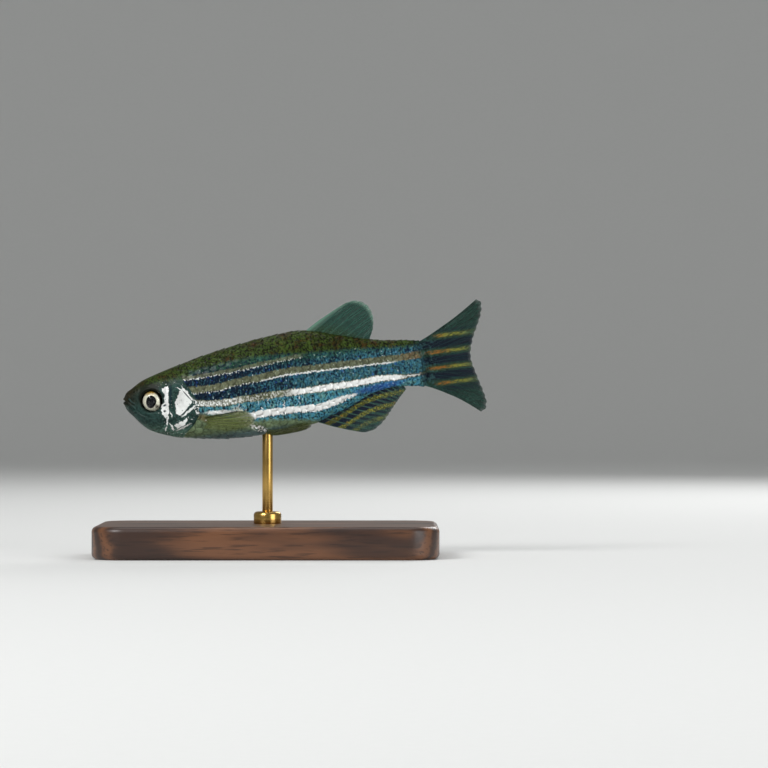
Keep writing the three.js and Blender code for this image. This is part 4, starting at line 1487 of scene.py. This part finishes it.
class FinBoard(Board):
    """A fin's material: its rays from the piece's own map, and shared ways to tint it."""

    def __init__(self, name, fin):
        super().__init__(name)
        self.map = self.node("ShaderNodeUVMap", {"uv_map": "Rays"}).outputs[0]
        self.across, self.out, _ = self.split(self.map)
        place_in_ray = self.across * (fin["rays"] - 1)
        self.off = abs(place_in_ray - self.math("ROUND", place_in_ray))
        forked = abs(self.off - self.ease(self.out, *FIRST_FORK) * FIRST_SPREAD)
        width = 0.12 - self.out * 0.06
        self.ray = self.ease(forked / width, 1.4, 0.5)
        self.joints = self.math("SINE", self.out * 150)
        self.fish = self.fish_frame()
        self.grain = self.noise(self.fish, 5.0, 3.0)

    def surface(self, shade, clear, ray_shade):
        """Tinted membrane that lets some light through, with paler jointed rays."""
        ray = self.ray * (0.75 + self.joints * 0.12)
        thin = self.out.above(0.97, 0.06) * 0.45
        return self.principled(
            base_color=self.mix(ray * 0.4, shade, ray_shade),
            roughness=0.4,
            alpha=self.math("MINIMUM", 1 - clear + ray * 0.3, 1.0) - thin,
            specular_ior_level=0.1,
            coat_weight=0.15,
            coat_roughness=0.1,
            coat_ior=1.33,
            normal=self.bump(self.grain * 0.5 + self.joints * self.ray * 0.2, 0.02 * MM, 0.5),
        )


def dorsal_material(tones):
    board = FinBoard("danio_dorsal_fin", DORSAL_FIN)
    shade = board.mottled(board.ease(board.grain, 0.3, 0.7), tones.fin_teal, 0.5, 0.85)
    foot = board.out.below(0.25, 0.2)
    shade = board.mix(foot * 0.4, shade, tones.back_light)
    margin = board.most(board.across.below(0.06, 0.07), board.out.above(0.95, 0.06))
    margin = margin * board.across.below(0.75, 0.2)
    shade = board.mix(margin * 0.85, shade, toned(tones.chin, 1.4))
    return board.surface(shade, 0.1 + board.out * 0.12, toned(tones.fin_teal, 1.3))


def anal_material(tones):
    """Olive bands along the fin's root, parted by dark ones that the rays break up, paler at the edge."""
    board = FinBoard("danio_anal_fin", ANAL_FIN)
    u, _, w = board.split(board.fish)
    root = board.line(u, ANAL_FIN["base"], ALONG_RANGE, HEIGHT_RANGE)
    broken = board.noise(board.moved(board.fish, scale=(0.8, 1, 1.6)), 3.0, 2.0)
    down = root - w + (board.grain + broken - 1.0) * 0.4
    phase = board.math("COSINE", (down - ANAL_BAND_DOWN) * (2 * math.pi / ANAL_BAND_PITCH))
    haze = board.ease(down, 2.5, 4.3) * 0.5 + board.ease(u, 31, 34.5) * 0.3
    ground = board.mottled(board.ease(broken, 0.35, 0.65), tones.fin_teal, 0.6, 1.05)
    olive = board.mottled(board.ease(board.grain, 0.3, 0.7), tones.fin_yellow, 0.14, 0.36)
    shade = board.mix(phase.above(0.1, 0.5) * (0.9 - haze), ground, olive)
    stroke = phase.below(0.1, 0.4) * board.off.above(0.1, 0.08)
    shade = board.mix(stroke * (1 - haze), shade, tones.fin_navy)
    warm = board.mix(board.ease(broken, 0.56, 0.66), tones.fin_yellow, tones.fin_orange)
    flecks = phase.above(0.4, 0.35) * board.specks(board.fish, 4.6, 0.52, 0.62)
    shade = board.mix(flecks * (0.75 - haze), shade, warm)
    return board.surface(shade, 0.04 + board.out * 0.18, toned(tones.chin, 0.6))


def caudal_material(tones):
    board = FinBoard("danio_caudal_fin", CAUDAL_FIN)
    streaks = board.noise(board.moved(board.map, scale=(0.02, 0.6, 1)), 1.0, 3.0)
    shade = board.scaled(tail_bands(board, board.fish, tones), 0.6 + streaks * 0.8)
    return board.surface(shade, 0.04 + board.out * 0.14, toned(tones.fin_teal, 0.6))


def paired_material(name, fin, tones, olive):
    """Olive membrane with a dark front edge, clearest towards the rear rays."""
    board = FinBoard(name, fin)
    shade = board.mottled(board.ease(board.grain, 0.3, 0.75), olive, 0.55)
    front = board.across.below(0.1, 0.08)
    shade = board.mix(front * 0.95, shade, toned(tones.back_dark, 0.7))
    clear = 0.35 + board.out * 0.1 + board.ease(board.across, 0.3, 1.0) * 0.35
    return board.surface(shade, clear, toned(olive, 1.1))


def build_median_fins(sizes, tones):
    for name, fin, material, replaced in (
        ("dorsal_fin", DORSAL_FIN, dorsal_material, ("dorsal_fin",)),
        ("anal_fin", ANAL_FIN, anal_material, ("anal_fin",)),
        ("caudal_fin", CAUDAL_FIN, caudal_material, ("caudal_fin_upper", "caudal_fin_lower")),
    ):
        build_fin(name, fin, median_surface(fin), sizes, material(tones), replaced)


def build_paired_fins(sizes, tones):
    fins = []
    for name, fin, lie, olive in (
        ("pectoral_fin", PECTORAL_FIN, beside_flank, tones.fin_olive),
        ("pelvic_fin", PELVIC_FIN, under_belly, toned(tones.fin_olive, 0.62)),
    ):
        fins.append((name, fin, lie, paired_material(f"danio_{name}", fin, tones, olive)))
    for label, side in SIDES:
        for name, fin, lie, material in fins:
            node = f"{name}_{label}"
            build_fin(node, fin, paired_surface(fin, side, lie), sizes, material, (node,))


# The display stand


def wood_material(looks):
    """Dark wood with its grain along the base and a satin finish."""
    board = Board("stand_wood")
    object_place = board.object_place()
    long = board.moved(object_place, (0, 0, 0), (0, 0.05, 0.03), (0.05, 0.006, 0.006))
    rings = board.node(
        "ShaderNodeTexWave",
        {"wave_type": "RINGS", "rings_direction": "X"},
        {"Vector": long, "Scale": 1.1, "Distortion": 5.0, "Detail": 3.0, "Detail Scale": 1.5},
    ).outputs["Fac"]
    pores = board.noise(board.moved(object_place, scale=(0.004, 0.0003, 0.0003)), 1.0, 3.0)
    figure = Field(board, rings) * 0.6 + board.noise(long, 1.0, 4.0) * 0.4
    shade = board.mix(board.ease(figure, 0.15, 0.85), looks.wood_dark, looks.wood_light)
    shade = board.mix(pores.below(0.4, 0.08) * 0.6, shade, toned(looks.wood_dark, 0.5))
    return board.principled(
        base_color=shade,
        roughness=0.42 - figure * 0.08,
        coat_weight=0.2,
        coat_roughness=0.25,
        normal=board.bump(pores, 0.05 * MM, 0.35),
    )


def brass_material(looks):
    """Polished brass with faint turning lines and a little tarnish."""
    board = Board("stand_brass")
    object_place = board.object_place()
    lines = board.noise(board.moved(object_place, scale=(0.02, 0.02, 0.0001)), 1.0, 2.0)
    tarnish = board.noise(object_place, 300.0, 3.0)
    return board.principled(
        base_color=board.mottled(board.ease(tarnish, 0.45, 0.8), looks.brass, 1.0, 0.6),
        metallic=1.0,
        roughness=0.16 + tarnish * 0.16,
        normal=board.bump(lines, 0.01 * MM, 0.4),
    )


def build_base(looks):
    """The base as a board with round corners and eased edges, in the place of its node's box."""
    low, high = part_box("stand_base")
    size = high - low
    bm = bmesh.new()
    bmesh.ops.create_cube(bm, size=1)
    bmesh.ops.scale(bm, vec=size, verts=bm.verts)
    bmesh.ops.translate(bm, vec=(low + high) / 2, verts=bm.verts)
    for upright, offset, segments in ((True, looks.corner, 12), (False, looks.edge, 5)):
        edges = [e for e in bm.edges if (abs(e.verts[0].co.z - e.verts[1].co.z) > size.z / 2) == upright]
        bmesh.ops.bevel(
            bm, geom=edges, offset=offset, segments=segments, profile=0.5, affect="EDGES", material=-1
        )
    piece = finished(bm, "stand_base_wood", wood_material(looks), ("stand_base",), smooth=False)
    for polygon in piece.data.polygons:
        polygon.use_smooth = abs(polygon.normal.z) < 0.999


def turned(node, profile, material):
    """A brass piece turned on the rod's axis from (radius, height) points, first and last on the axis."""
    piece = finished(spun(profile, 48, 1e-7), f"{node}_brass", material, (node,))
    edge = piece.modifiers.new("edge", "BEVEL")
    edge.width = BRASS_EDGE * MM
    edge.segments = 2
    edge.limit_method = "ANGLE"


def build_stand(looks):
    """The base, a collar with a coved top and the rod, which reaches a little way into the belly."""
    build_base(looks)
    brass = brass_material(looks)
    foot = BASE_TOP * MM
    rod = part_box("stand_rod")[1]
    low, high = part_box("stand_collar")
    radius = high.x
    top = high.z
    ease = (top - low.z) * 0.3
    bore = rod.x * 1.02
    collar = [
        (0, foot), (radius, foot), (radius, top - ease), (radius - ease * 0.35, top - ease * 0.3),
        (radius - ease, top), (bore, top), (bore, top - ease * 0.5), (0, top - ease * 0.5),
    ]
    turned("stand_collar", collar, brass)
    reach = rod.z + ROD_SUNK * MM
    turned("stand_rod", [(0, foot), (rod.x, foot), (rod.x, reach), (0, reach)], brass)


# The stage

# Floor in metres: its flat middle, the curve up all round and the low wall
FLOOR_FLAT = 0.62
FLOOR_CURVE = 0.42
FLOOR_WALL = 0.3
FLOOR_STEPS = 16
AIM_HEIGHT = 20
SURROUND_STRENGTH = 0.3
# Lights as name, place and size in millimetres, and power in watts
LIGHTS = (
    ("key", (-260, -330, 330), 220, 1.78),
    ("fill", (330, -300, 120), 260, 0.72),
    ("top", (10, 60, 420), 300, 0.45),
    ("rim", (160, 300, 200), 160, 0.5),
)


def backdrop_material(looks):
    board = Board("stage_floor")
    grain = board.noise(board.object_place(), 900.0, 2.0)
    return board.principled(base_color=board.mottled(grain, looks.floor, 1.0, 0.97), roughness=0.85)


def build_floor(looks):
    """A round floor that curves up into a low wall all round."""
    profile = [(0.0, 0.0)]
    for i in range(FLOOR_STEPS + 1):
        turn = math.pi / 2 * i / FLOOR_STEPS
        profile.append((FLOOR_FLAT + FLOOR_CURVE * math.sin(turn), FLOOR_CURVE * (1 - math.cos(turn))))
    profile.append((FLOOR_FLAT + FLOOR_CURVE, FLOOR_CURVE + FLOOR_WALL))
    mesh_object(spun(profile, 96, 1e-6), "floor", backdrop_material(looks))


def add_light(name, position, size, power):
    """A square soft light that looks at the model."""
    data = bpy.data.lights.new(name, "AREA")
    data.shape = "SQUARE"
    data.size = size * MM
    data.energy = power
    light = into_scene(name, data)
    light.location = Vector(position) * MM
    aim = Vector((0, 0, AIM_HEIGHT * MM)) - light.location
    light.rotation_euler = aim.to_track_quat("-Z", "Y").to_euler()


def build_camera():
    """The camera looks level along +Y, with the snout tip where the photograph has it."""
    snout = pitched(0, 0) + FISH_PLACE
    middle = PHOTO_SIZE / 2
    x = snout.x + (middle - PHOTO_SNOUT[0]) * MM_PER_PIXEL
    z = snout.z - (middle - PHOTO_SNOUT[1]) * MM_PER_PIXEL
    data = bpy.data.cameras.new("camera")
    data.sensor_width = SENSOR
    data.lens = SENSOR * CAMERA_DISTANCE / (PHOTO_SIZE * MM_PER_PIXEL)
    data.clip_start = 0.01
    data.clip_end = 10
    camera = into_scene("camera", data)
    camera.location = Vector((x, -CAMERA_DISTANCE, z)) * MM
    camera.rotation_euler = (math.pi / 2, 0, 0)
    bpy.context.scene.camera = camera


def build_stage(looks):
    """Floor, lights, a plain pale surrounding and the camera."""
    build_floor(looks)
    for light in LIGHTS:
        add_light(*light)
    world = bpy.data.worlds.new("studio")
    world.use_nodes = True
    background = world.node_tree.nodes["Background"]
    background.inputs["Color"].default_value = looks.floor
    background.inputs["Strength"].default_value = SURROUND_STRENGTH
    bpy.context.scene.world = world
    bpy.context.scene.view_settings.view_transform = "Standard"
    build_camera()


# Operators


def fish_settings(context):
    """The fish's sizes in millimetres and its colours."""
    return in_millimetres(context.scene.danio_sizes), context.scene.danio_colours


class DANIO_OT_skin(bpy.types.Operator):
    """Build the skin"""

    bl_idname = "danio.skin"
    bl_label = "Skin"

    def execute(self, context):
        build_skin(*fish_settings(context))
        return {"FINISHED"}


class DANIO_OT_scales(bpy.types.Operator):
    """Lay the scales over both flanks"""

    bl_idname = "danio.scales"
    bl_label = "Scales"

    def execute(self, context):
        build_scales(*fish_settings(context))
        return {"FINISHED"}


class DANIO_OT_eyes(bpy.types.Operator):
    """Build both eyes"""

    bl_idname = "danio.eyes"
    bl_label = "Eyes"

    def execute(self, context):
        build_eyes(*fish_settings(context))
        return {"FINISHED"}


class DANIO_OT_barbels(bpy.types.Operator):
    """Build the two pairs of barbels"""

    bl_idname = "danio.barbels"
    bl_label = "Barbels"

    def execute(self, context):
        build_barbels(*fish_settings(context))
        return {"FINISHED"}


class DANIO_OT_median_fins(bpy.types.Operator):
    """Build the dorsal, anal and caudal fins"""

    bl_idname = "danio.median_fins"
    bl_label = "Median fins"

    def execute(self, context):
        build_median_fins(*fish_settings(context))
        return {"FINISHED"}


class DANIO_OT_paired_fins(bpy.types.Operator):
    """Build the pectoral and pelvic fins"""

    bl_idname = "danio.paired_fins"
    bl_label = "Paired fins"

    def execute(self, context):
        build_paired_fins(*fish_settings(context))
        return {"FINISHED"}


class DANIO_OT_stand(bpy.types.Operator):
    """Build the display stand"""

    bl_idname = "danio.stand"
    bl_label = "Stand"

    def execute(self, context):
        build_stand(context.scene.danio_stand)
        return {"FINISHED"}


class DANIO_OT_stage(bpy.types.Operator):
    """Set the floor, lights and camera"""

    bl_idname = "danio.stage"
    bl_label = "Stage"

    def execute(self, context):
        build_stage(context.scene.danio_stand)
        return {"FINISHED"}


OPERATORS = (
    DANIO_OT_skin, DANIO_OT_scales, DANIO_OT_eyes, DANIO_OT_barbels, DANIO_OT_median_fins,
    DANIO_OT_paired_fins, DANIO_OT_stand, DANIO_OT_stage,
)
GROUPS = {"danio_sizes": DanioSizes, "danio_colours": DanioColours, "danio_stand": StandLooks}


class DANIO_PT_model(bpy.types.Panel):
    """Lists the steps that build the fish"""

    bl_label = "Zebra danio"
    bl_idname = "DANIO_PT_model"
    bl_space_type = "VIEW_3D"
    bl_region_type = "UI"
    bl_category = "Danio"

    def draw(self, context):
        for operator in OPERATORS:
            self.layout.operator(operator.bl_idname)
        for group in GROUPS:
            properties = getattr(context.scene, group)
            box = self.layout.box()
            for name in properties.__annotations__:
                box.prop(properties, name)


CLASSES = (*GROUPS.values(), *OPERATORS, DANIO_PT_model)


def register():
    for one in CLASSES:
        bpy.utils.register_class(one)
    for name, group in GROUPS.items():
        setattr(bpy.types.Scene, name, PointerProperty(type=group))


def unregister():
    for name in GROUPS:
        delattr(bpy.types.Scene, name)
    for one in reversed(CLASSES):
        bpy.utils.unregister_class(one)


def main():
    register()
    bpy.ops.danio.skin()
    bpy.ops.danio.scales()
    bpy.ops.danio.eyes()
    bpy.ops.danio.barbels()
    bpy.ops.danio.median_fins()
    bpy.ops.danio.paired_fins()
    bpy.ops.danio.stand()
    bpy.ops.danio.stage()


if __name__ == "__main__":
    main()
